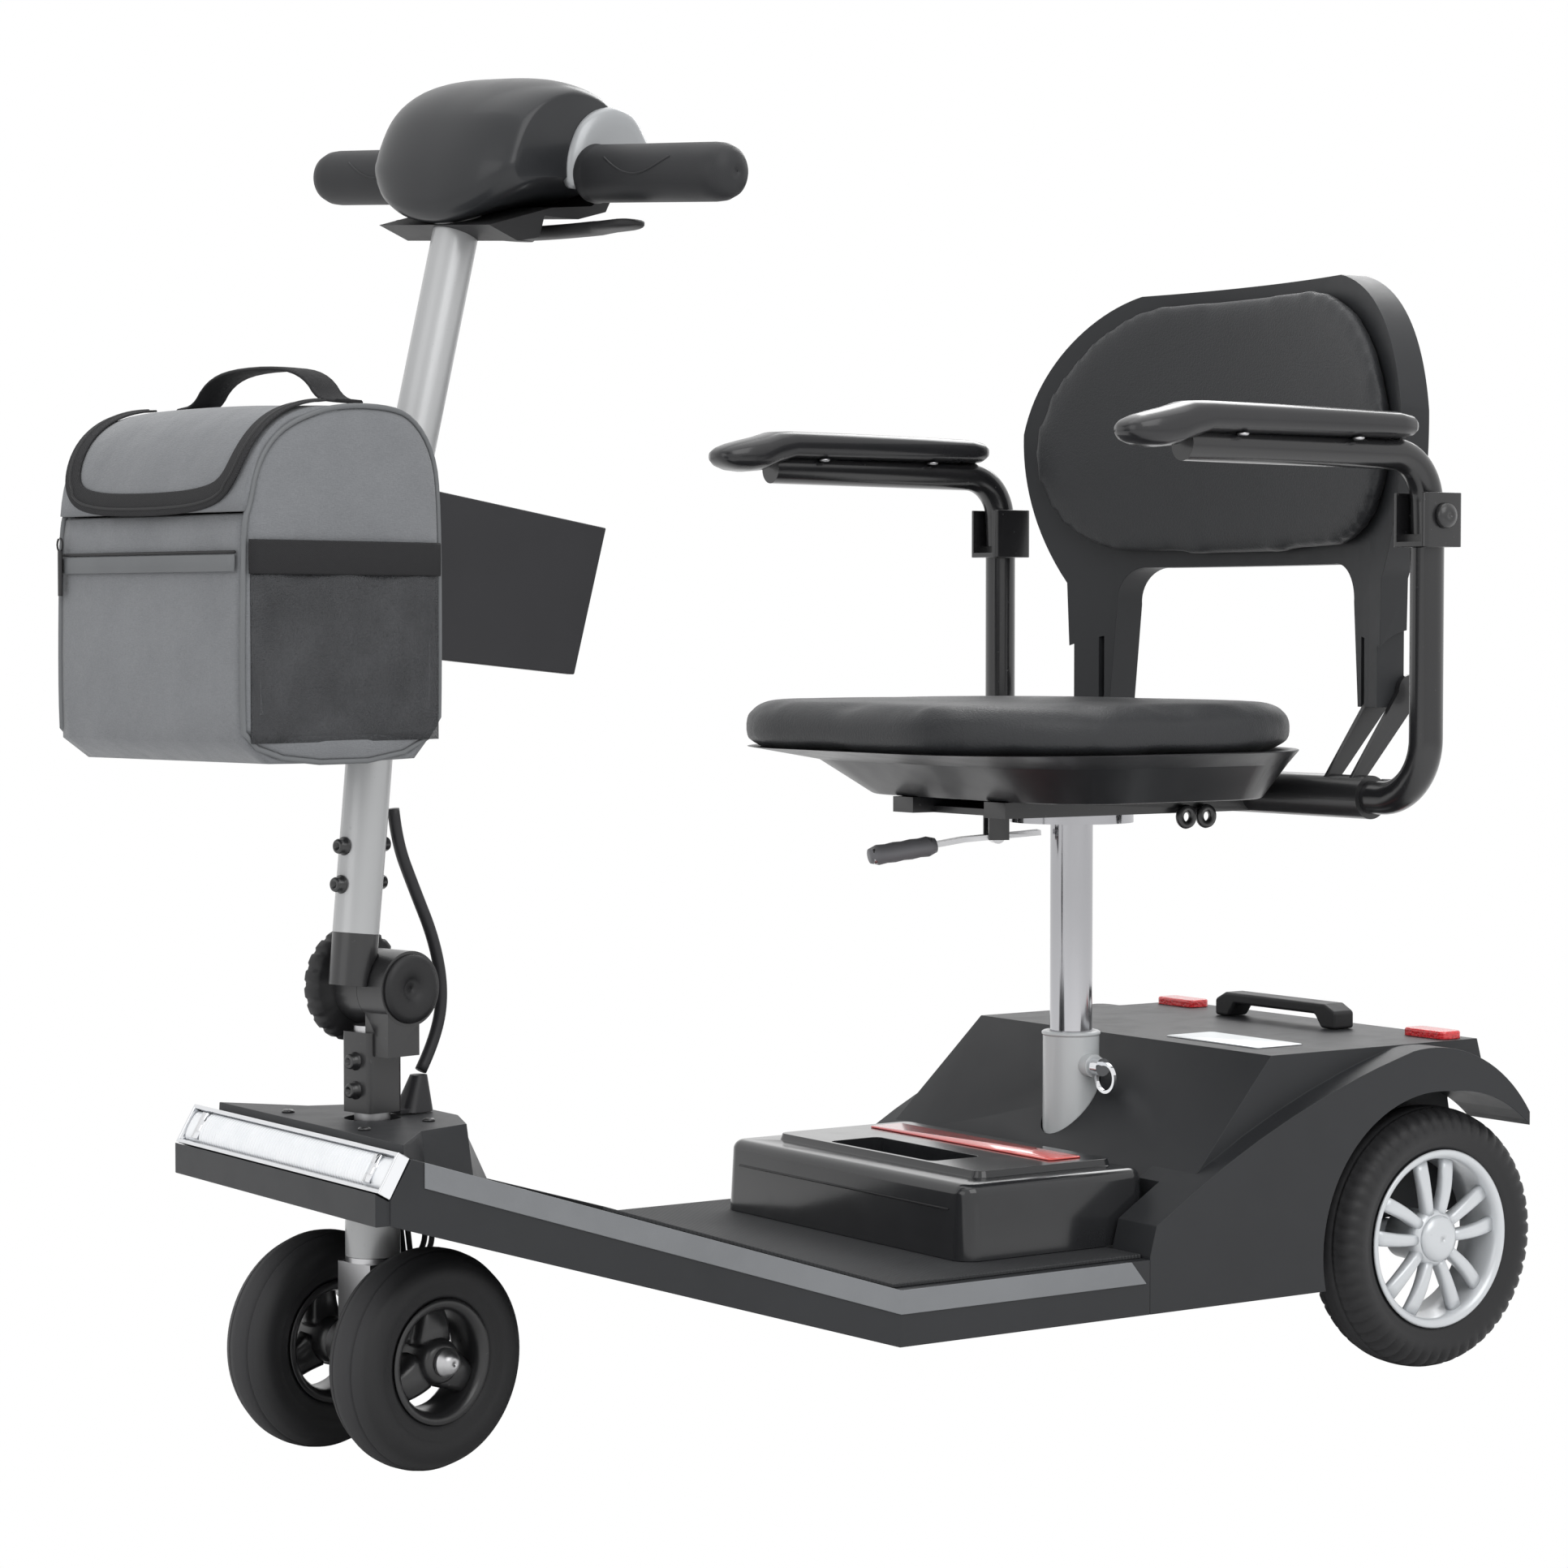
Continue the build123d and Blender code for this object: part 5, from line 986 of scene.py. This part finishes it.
shell_side = softened([
    (-0.066, -0.004), (-0.036, -0.021), (0.004, -0.026), (0.034, -0.034), (0.066, -0.043), (0.071, -0.012),
    (0.067, 0.012), (0.054, 0.040), (0.032, 0.058), (0.006, 0.066), (-0.018, 0.065), (-0.040, 0.058),
    (-0.058, 0.036), (-0.073, 0.014),
], 2)
shell_half = 0.0725
grip_line = (-0.010, 0.006)
rings = []
for k in range(33):
    across = sin(pi / 2 * (k / 16 - 1))
    size = 0.78 + 0.22 * (1 - abs(across) ** 3.0) ** 0.60
    ring = []
    for x, z in shell_side:
        x = grip_line[0] + (x - grip_line[0]) * size
        z = grip_line[1] + (z - grip_line[1]) * size
        under = max(0.0, min(1.0, (0.004 - z) / 0.030))
        ring.append(on_head(x, across * shell_half, z + under * 0.020 * across ** 2))
    rings.append(ring)
shell_plastic = moulded(
    "satin_graphite_shell", (0.017, 0.018, 0.020), 0.32, 2600, 0.00003, coat=0.15, dust=0.15
)
dress(loft("head_shell_moulding", rings), "tiller", "graphite_shell", shell_plastic, "head_shell")
trim_silver = enamel("silver_trim", (0.30, 0.31, 0.32), 0.34, fleck=0.3)
for side, name in ((1, "left"), (-1, "right")):
    rings = []
    for y, size in ((0.0690, 0.56), (0.0735, 0.56), (0.0765, 0.52), (0.0785, 0.44), (0.0790, 0.34)):
        rings.append([
            on_head(-0.040 + (x - grip_line[0]) * size, side * y, 0.014 + (z - grip_line[1]) * size)
            for x, z in shell_side
        ])
    dress(loft("head_trim_" + name, rings), "tiller", "silver_paint", trim_silver)
rounded("head_shroud", "head_lower_cover", 0.0040, "black_plastic", fine_black, 15.0, 4)

# ---- Handlebar grips and throttle ----------------------------------------------------------
# Soft black rubber grips cover the bar, each with a round end and a thin crescent rib on the
# front. The wig-wag throttle lever lies under them, with a paddle for each hand.
coat(zinc, "handlebar")
grip_foam = moulded("soft_grip_rubber", (0.015, 0.0155, 0.017), 0.50, 1500, 0.00012, dust=0.5)
grips = []
bar_line = on_head(-0.018, 0, 0)
grip_r = 0.0200
for side in (1, -1):
    grips.append(turned("grip_body", [
        (0.0114, 0.0740), (0.0180, 0.0740), (0.0198, 0.0755), (0.0206, 0.0790), (0.0196, 0.0820),
        (grip_r, 0.0850), (grip_r, 0.1960), (0.0194, 0.2030), (0.0172, 0.2090), (0.0130, 0.2132),
        (0.0070, 0.2153), (0.0005, 0.2158), (0.0005, 0.2035), (0.0114, 0.2035),
    ], bar_line, bar_left * side, 64))
    crescent = []
    for k in range(21):
        share = k / 20
        angle = radians(28 - 34 * sin(pi * share))
        crescent.append(bar_line + bar_left * side * (0.104 + 0.064 * share)
                        + (steer_forward * cos(angle) + bar_up * sin(angle)) * grip_r)
    grips.append(loft("grip_crescent", follow(crescent, circle(0.0008, 8))))
dress(joined("hand_grips_moulded", grips), "tiller", "grip_rubber", grip_foam, "hand_grips")
lever_rings = []
lever_pin = on_head(-0.018, 0, -0.0415)
for k in range(41):
    y = 0.126 * sin(pi / 2 * (k / 20 - 1))
    reach = abs(y) / 0.126
    paddle = max(0.0, min(1.0, (abs(y) - 0.082) / 0.012))
    end = (1 - max(0.0, (reach - 0.86) / 0.14) ** 2.5) ** 0.5
    half_long = (0.0085 + 0.0035 * paddle) * end + 0.0004
    half_tall = (0.0045 - 0.0010 * paddle) * end + 0.0003
    lever_rings.append([
        lever_pin + bar_left * y + bar_up * (0.0075 * reach ** 1.5)
        + steer_forward * (0.002 * paddle + half_long * abs(cos(t)) ** 0.6 * (1 if cos(t) > 0 else -1))
        + bar_up * half_tall * abs(sin(t)) ** 0.6 * (1 if sin(t) > 0 else -1)
        for t in (2 * pi * m / 24 for m in range(24))
    ])
lever = [
    loft("lever_bar", lever_rings),
    turned("lever_boss", [
        (0.0002, -0.0055), (0.0110, -0.0050), (0.0128, -0.0035), (0.0130, 0.0030), (0.0120, 0.0044),
        (0.0039, 0.0046), (0.0039, 0.0134), (0.0002, 0.0134),
    ], lever_pin, bar_up, 40),
]
lever = joined("throttle_lever_moulding", lever)
dress(lever, "throttle_lever", "black_plastic", fine_black, "throttle_lever")

# ---- Dash ----------------------------------------------------------------------------------
# The sloping rider's side carries a glossy panel with a key switch, a speed dial with a white
# pointer, a red horn button and a small battery gauge with three lamps.
panel_out = (steer_forward * -0.79 + bar_up * 0.62).normalized()
panel_right = -bar_left
panel_up = panel_out.cross(panel_right)
panel_middle = on_head(-0.054, 0, 0.0345)


def on_panel(x, y, out=0.0):
    return panel_middle + panel_right * x + panel_up * y + panel_out * out


dash = plate("dash_panel", on_panel(0, 0, -0.0012), panel_right, panel_up, 0.060, 0.0215, 0.0022, 0.010)
dress(dash, "tiller", "gloss_black", gloss_black)
gauge_row = 0.0145
gauge = plate(
    "battery_gauge", on_panel(0, gauge_row, 0.0009), panel_right, panel_up, 0.0150, 0.0036, 0.0012, 0.0015
)
dress(gauge, "tiller", "black_plastic", fine_black)
lamp_colours = (("red", (0.6, 0.02, 0.02)), ("amber", (0.7, 0.3, 0.02)), ("green", (0.03, 0.4, 0.06)))
for k, (name, colour) in enumerate(lamp_colours):
    lamp_paint = Paint("gauge_lamp_" + name, coat_weight=0.8)
    tint = lamp_paint.noise(900.0, 2.0)
    lamp_paint.feed(base_color=lamp_paint.mix(colour, [min(1, c * 1.6 + 0.05) for c in colour], tint))
    lamp_paint.feed(roughness=0.2 + tint * 0.1)
    lamp = turned("gauge_lamp_%s_dome" % name, [
        (0.0002, 0.0014), (0.0011, 0.0011), (0.0015, 0.0004), (0.0016, 0.0), (0.0002, -0.0002),
    ], on_panel(-0.008 + 0.008 * k, gauge_row, 0.0020), panel_out, 16)
    dress(lamp, "tiller", "red_lens", lamp_paint)


def dial_flutes(angle, step, radius, wide):
    """Fine grips round the speed dial's barrel."""
    return (radius - 0.0009 * (step % 6 < 3), wide) if 0.0095 < radius < 0.0112 else (radius, wide)


dial = turned("speed_dial_knob", [
    (0.0002, 0.0118), (0.0085, 0.0115), (0.0100, 0.0105), (0.0108, 0.0035), (0.0130, 0.0028),
    (0.0130, 0.0012), (0.0038, 0.0010), (0.0038, -0.0120), (0.0002, -0.0120),
], on_panel(0, -0.006), panel_out, 96, dial_flutes)
dress(dial, "speed_dial", "black_plastic", fine_black, "speed_dial")
pointer = plate(
    "speed_dial_pointer", on_panel(0, 0.0005, 0.0114), panel_right, panel_up,
    0.0007, 0.0032, 0.0005, 0.0004,
)
dress(pointer, "speed_dial", "white_paint", pale_paint)
key_place = (-0.044, -0.008)
bow = [
    plate(
        "key_bow", on_panel(key_place[0], key_place[1], 0.0115) + panel_up * -0.00125,
        panel_right, panel_out, 0.0090, 0.0095, 0.0025, 0.0060,
    ),
    turned("key_barrel", [
        (0.0002, 0.0055), (0.0030, 0.0055), (0.0045, 0.0048), (0.0060, 0.0036), (0.0062, 0.0012),
        (0.0034, 0.0010), (0.0034, -0.0120), (0.0002, -0.0120),
    ], on_panel(*key_place), panel_out, 32),
]
dress(joined("key_and_barrel", bow), "key", "chrome", zinc, "key")
horn_place = (0.044, -0.008)
horn = turned("horn_button_domed", [
    (0.0002, 0.0086), (0.0050, 0.0080), (0.0074, 0.0062), (0.0079, 0.0040), (0.0074, 0.0030),
    (0.0029, 0.0029), (0.0029, -0.0125), (0.0002, -0.0125),
], on_panel(*horn_place), panel_out, 32)
dress(horn, "horn_button", "red_lens", red_plastic, "horn_button")
bezel = turned("horn_bezel", [
    (0.0084, 0.0008), (0.0084, 0.0030), (0.0098, 0.0028), (0.0108, 0.0008),
], on_panel(*horn_place), panel_out, 40)
dress(bezel, "tiller", "chrome", chrome)

# ---- Bag -----------------------------------------------------------------------------------
# A soft cooler bag hangs on the tube. Foam lies inside its heathered grey fabric; the lid is
# edged with a black zip, the sides are piped, and a dark mesh pocket is sewn on each side.
bag_half = 0.098


def in_bag(x, y, z):
    return steered(x, y - 0.006, z)


fabric = Paint("heathered_fabric", specular_ior_level=0.25, sheen_weight=0.2, sheen_roughness=0.5)
fabric_spot = fabric.place()
warp = fabric.noise(420.0, 2.0, fabric.place((1, 1, 5)))
weft = fabric.noise(420.0, 2.0, fabric.place((5, 5, 1)))
tone = fabric.noise(24.0, 4.0, fabric_spot)
heather = (warp + weft) * 0.5 + (tone - 0.5) * 0.5
fabric.feed(base_color=fabric.mix((0.105, 0.110, 0.118), (0.205, 0.212, 0.222), heather))
fabric.feed(roughness=0.74 + (tone - 0.5) * 0.15)
fabric.bump(fabric.noise(16.0, 3.0, fabric_spot) * 6.0 + warp * 0.4, 0.0009)
webbing = Paint("black_webbing", specular_ior_level=0.3)
weave = webbing.waves(520.0, "DIAGONAL", distortion=0.6)
webbing.feed(base_color=webbing.mix((0.008, 0.008, 0.009), (0.024, 0.024, 0.026), weave))
webbing.feed(roughness=0.62 + weave * 0.15)
webbing.bump(weave, 0.0003)
piping = moulded("grey_piping", (0.11, 0.115, 0.12), 0.42, 1400)

lid_arc = [(0.104, 0.7165), (0.176, 0.7160), (0.1815, 0.6470)]


def lid_spot(share, y, lift=0.0):
    """A point on the lid, from its hinge at share 0 to its front edge at 1."""
    (ax, az), (bx, bz), (cx, cz) = lid_arc
    x = (1 - share) ** 2 * ax + 2 * share * (1 - share) * bx + share ** 2 * cx
    z = (1 - share) ** 2 * az + 2 * share * (1 - share) * bz + share ** 2 * cz
    along = Vector((2 * (1 - share) * (bx - ax) + 2 * share * (cx - bx),
                    2 * (1 - share) * (bz - az) + 2 * share * (cz - bz))).normalized()
    return in_bag(x - along.y * lift, y, z + along.x * lift)


wall_outer = softened([
    (0.174, 0.6460), (0.1800, 0.6440), (0.1815, 0.6000), (0.1825, 0.5400), (0.1810, 0.4860),
    (0.1000, 0.4850), (0.0185, 0.4870), (0.0170, 0.5700), (0.0175, 0.6600), (0.0230, 0.6900),
    (0.0400, 0.7120), (0.0640, 0.7175), (0.1035, 0.7165),
], 1, closed=False)
wall_inner = softened([
    (0.1035, 0.7100), (0.0650, 0.7110), (0.0430, 0.7060), (0.0280, 0.6870), (0.0230, 0.6600),
    (0.0225, 0.5700), (0.0240, 0.4925), (0.1000, 0.4910), (0.1750, 0.4920), (0.1770, 0.5400),
    (0.1755, 0.6000), (0.1740, 0.6380),
], 1, closed=False)
wall_side = wall_outer + wall_inner
bag_rings = []
for k in range(25):
    y = -0.0965 + 0.193 * k / 24
    crown = 1 - (y / 0.0965) ** 2
    bag_rings.append([
        in_bag(x + 0.0022 * crown * (x > 0.1765), y, z + 0.0020 * crown * (z > 0.7112))
        for x, z in wall_side
    ])
panel_side = softened([
    (0.181, 0.486), (0.1825, 0.540), (0.1810, 0.620), (0.1795, 0.643), (0.1760, 0.6505), (0.1700, 0.6760),
    (0.1560, 0.6955), (0.1350, 0.7075), (0.104, 0.7165),
    (0.064, 0.7175), (0.040, 0.712), (0.022, 0.689), (0.0175, 0.655), (0.017, 0.560), (0.0185, 0.486),
], 2)
panel_centre = (0.098, 0.595)
walls = [loft("bag_wall", bag_rings)]
pillow = (
    (0.0925, 0.985), (0.0965, 0.992), (0.0990, 0.965), (0.1006, 0.86), (0.1012, 0.60), (0.1014, 0.30)
)
middle_x, middle_z = panel_centre
for side in (1, -1):
    rings = []
    for y, size in pillow:
        rings.append([
            in_bag(middle_x + (x - middle_x) * size, side * y, middle_z + (z - middle_z) * size)
            for x, z in panel_side
        ])
    walls.append(loft("bag_side", rings))
bag = joined("bag_body_sewn", walls)
dress(bag, "tiller", "bag_fabric", fabric, "bag_body")

rings = []
for k in range(29):
    y = sin(pi / 2 * (k / 14 - 1)) * (bag_half - 0.0005)
    edge = max(0.0, 1 - (y / bag_half) ** 6)
    crown = 0.0035 * (1 - (y / bag_half) ** 2)
    outer = [
        lid_spot(m / 14, y, (0.0025 * edge + crown * sin(pi * m / 14)) * min(1, m / 3)) for m in range(15)
    ]
    under = [lid_spot(1 - m / 14, y, -0.0055) for m in range(15)]
    rings.append(outer + under)
lid = loft("bag_lid_sewn", rings)
dress(lid, "bag_lid", "bag_fabric", fabric, "bag_lid")


def tape(name, spots, normals, half, thick, body, slot, paint):
    """A flat strip of tape or webbing laid along points, with its face along the normals."""
    rings = []
    for k, (spot, normal) in enumerate(zip(spots, normals)):
        along = (spots[min(k + 1, len(spots) - 1)] - spots[max(k - 1, 0)]).normalized()
        across = normal.cross(along).normalized()
        rings.append([
            spot + across * half * a + normal * thick * n
            for a, n in ((-1, 0), (-1, 0.55), (-0.9, 1), (0, 1.1), (0.9, 1), (1, 0.55), (1, 0), (0, -0.1))
        ])
    return dress(loft(name, rings), body, slot, paint)


def lid_normal(share, y):
    return (lid_spot(share, y, 0.01) - lid_spot(share, y)).normalized()


# the zip band goes forward along one side of the lid, across its front and back again
band_route = softened(
    [(0.06, 0.0895), (0.30, 0.0900), (0.66, 0.0895), (0.88, 0.0830), (0.95, 0.0600), (0.965, 0.0),
     (0.95, -0.0600), (0.88, -0.0830), (0.66, -0.0895), (0.30, -0.0900), (0.06, -0.0895)],
    3, closed=False,
)


def lid_crown(share, y):
    return 0.0025 + 0.0035 * (1 - (y / bag_half) ** 2) * sin(pi * share) + 0.0001


tape("bag_lid_zip_band", [lid_spot(s, y, lid_crown(s, y)) for s, y in band_route],
     [lid_normal(s, y) for s, y in band_route], 0.0075, 0.0014, "bag_lid", "bag_black", webbing)
zip_teeth = [
    lid_spot(s + 0.02 if abs(y) < 0.08 else s, y * 1.02, lid_crown(s, y) + 0.0012) for s, y in band_route
]
dress(loft("bag_lid_zip", follow(zip_teeth, circle(0.0011, 8))), "bag_lid", "bag_black", fine_black)
for side, name in ((1, "left"), (-1, "right")):
    rim = [in_bag(x, side * 0.0972, z) for x, z in panel_side]
    rings = []
    for k, spot in enumerate(rim):
        along = (rim[(k + 1) % len(rim)] - rim[k - 1]).normalized()
        out = along.cross(steer_left).normalized()
        rings.append([spot + out * 0.0019 * cos(2 * pi * m / 8) + steer_left * 0.0019 * sin(2 * pi * m / 8)
                      for m in range(8)])
    dress(loft("bag_piping_" + name, rings, looped=True), "tiller", "bag_fabric", piping)

mesh_net = Paint("dark_net", specular_ior_level=0.3)
net_cells = mesh_net.cells(900.0, "DISTANCE_TO_EDGE", mesh_net.place((1, 1, 0.8)))
net_cloud = mesh_net.noise(30.0, 4.0)
mesh_net.feed(base_color=mesh_net.mix((0.024, 0.025, 0.027), (0.075, 0.077, 0.082), net_cloud))
mesh_net.feed(roughness=0.6 + (mesh_net.noise(20.0) - 0.5) * 0.1)
mesh_net.feed(alpha=0.50 + mesh_net.clamp(net_cells, 0.28, 0.12) * 0.3)
mesh_net.bump(net_cells, 0.0003)
for side, name in ((1, "left"), (-1, "right")):
    rings = []
    for k in range(41):
        wide = -1 + k / 20
        x = 0.099 + 0.0785 * wide
        ring = []
        for layer in (1, 0):
            for m in range(17):
                tall = -1 + m / 8 if layer else 1 - m / 8
                z = 0.5535 + 0.0545 * tall
                bulge = (1 - abs(wide) ** 4) * (1 - max(0.0, -tall) ** 6) * 0.0030
                fold = 0.0012 * sin(wide * 7.5 + tall * 1.3) * (1 - abs(wide) ** 6)
                out = 0.0992 + bulge + fold * (0.5 + 0.5 * tall) + 0.0006 * layer + 0.0004
                ring.append(in_bag(x, side * out, z))
        rings.append(ring)
    net = loft("bag_net_pocket_" + name, rings)
    dress(net, "tiller", "bag_black", mesh_net)
    binding = [
        in_bag(0.0195 + 0.160 * k / 24, side * (0.1008 + 0.0030 * (1 - abs(k / 12 - 1) ** 4)), 0.618)
        for k in range(25)
    ]
    tape("bag_net_binding_" + name, binding, [steer_left * side] * len(binding), 0.0110, 0.0012,
         "tiller", "bag_black", webbing)

front_line = [
    in_bag(0.1836 + 0.0018 * (1 - (k / 12 - 1) ** 2), -0.092 + 0.184 * k / 24, 0.614) for k in range(25)
]
tape("bag_front_flap", front_line, [steer_forward] * len(front_line), 0.0055, 0.0010,
     "tiller", "bag_fabric", piping)
front_zip = [spot + up * 0.0070 for spot in front_line]
dress(loft("bag_front_zip", follow(front_zip, circle(0.0010, 8))), "tiller", "bag_black", fine_black)

handle_arch = softened([
    (-0.084, 0.7195), (-0.066, 0.7215), (-0.052, 0.7370), (-0.026, 0.7440), (0.026, 0.7440), (0.052, 0.7370),
    (0.066, 0.7215), (0.084, 0.7195),
], 2, closed=False)
handle_spots = [in_bag(0.0830, y, z) for y, z in handle_arch]
handle_out = []
for k in range(len(handle_spots)):
    along = (handle_spots[min(k + 1, len(handle_spots) - 1)] - handle_spots[max(k - 1, 0)]).normalized()
    handle_out.append(along.cross(steer_forward).normalized())
tape("bag_handle", handle_spots, [n if n.z > 0 else -n for n in handle_out], 0.0120, 0.0024,
     "tiller", "bag_black", webbing)
hook_strap = [steered(-0.012, 0, 0.684), steered(0.004, 0, 0.6845), steered(0.0175, 0, 0.684)]
tape("bag_hook_strap", hook_strap, [up] * 3, 0.0140, 0.0030, "tiller", "bag_black", webbing)


def oval(middle, first, tall, second, wide, count, last):
    """Points of an oval round a middle, from the top on."""
    return [
        middle + first * tall * cos(2 * pi * k / count) + second * wide * sin(2 * pi * k / count)
        for k in range(last)
    ]


tab_outline = [(0.0030 * cos(2 * pi * k / 12), 0.0012 * sin(2 * pi * k / 12)) for k in range(12)]
pullers = (("front", 0.1860, -0.092, 0.6280, 0.030), ("side", 0.1690, -0.1040, 0.6340, 0.036))
for name, x, y, z, drop in pullers:
    loop = oval(in_bag(x, y, z), up, 0.0045, steer_left, 0.0030, 12, 12)
    hanging = [in_bag(x, y, z - 0.004 - drop * k / 6) for k in range(7)]
    puller = [loft("ring", follow(loop, circle(0.0007, 6))), loft("tab", follow(hanging, tab_outline))]
    dress(joined("bag_zip_puller_" + name, puller), "tiller", "bag_black", fine_black)

# ---- Pouch behind the bag ------------------------------------------------------------------
# A flat black pouch of stiffened fabric is strapped to the tube behind the bag, with a bound
# edge and a small ring and hook at its top front corner.
pouch_fabric = Paint("black_pouch_fabric", specular_ior_level=0.35)
pouch_weave = pouch_fabric.noise(1500.0, 2.0)
pouch_cloud = pouch_fabric.noise(14.0, 4.0)
pouch_fabric.feed(base_color=pouch_fabric.mix((0.014, 0.014, 0.016), (0.024, 0.024, 0.027), pouch_cloud))
pouch_fabric.feed(roughness=0.50 + (pouch_cloud - 0.5) * 0.15)
pouch_fabric.bump(pouch_cloud * 2.0 + pouch_weave * 0.1, 0.0002)
rounded("bag_board", "rear_pouch", 0.0025, "bag_black", pouch_fabric, 30.0, 3)
for k in range(2):
    ring_spot = steered(-0.030, 0.006, 0.6780 + 0.0100 * k)
    loop = oval(ring_spot, up, 0.0068, steer_forward if k else steer_left, 0.0052, 20, 21)
    ring = loft("pouch_ring_%d" % (k + 1), follow(loop, circle(0.0009, 6)))
    dress(ring, "tiller", "steel", zinc)
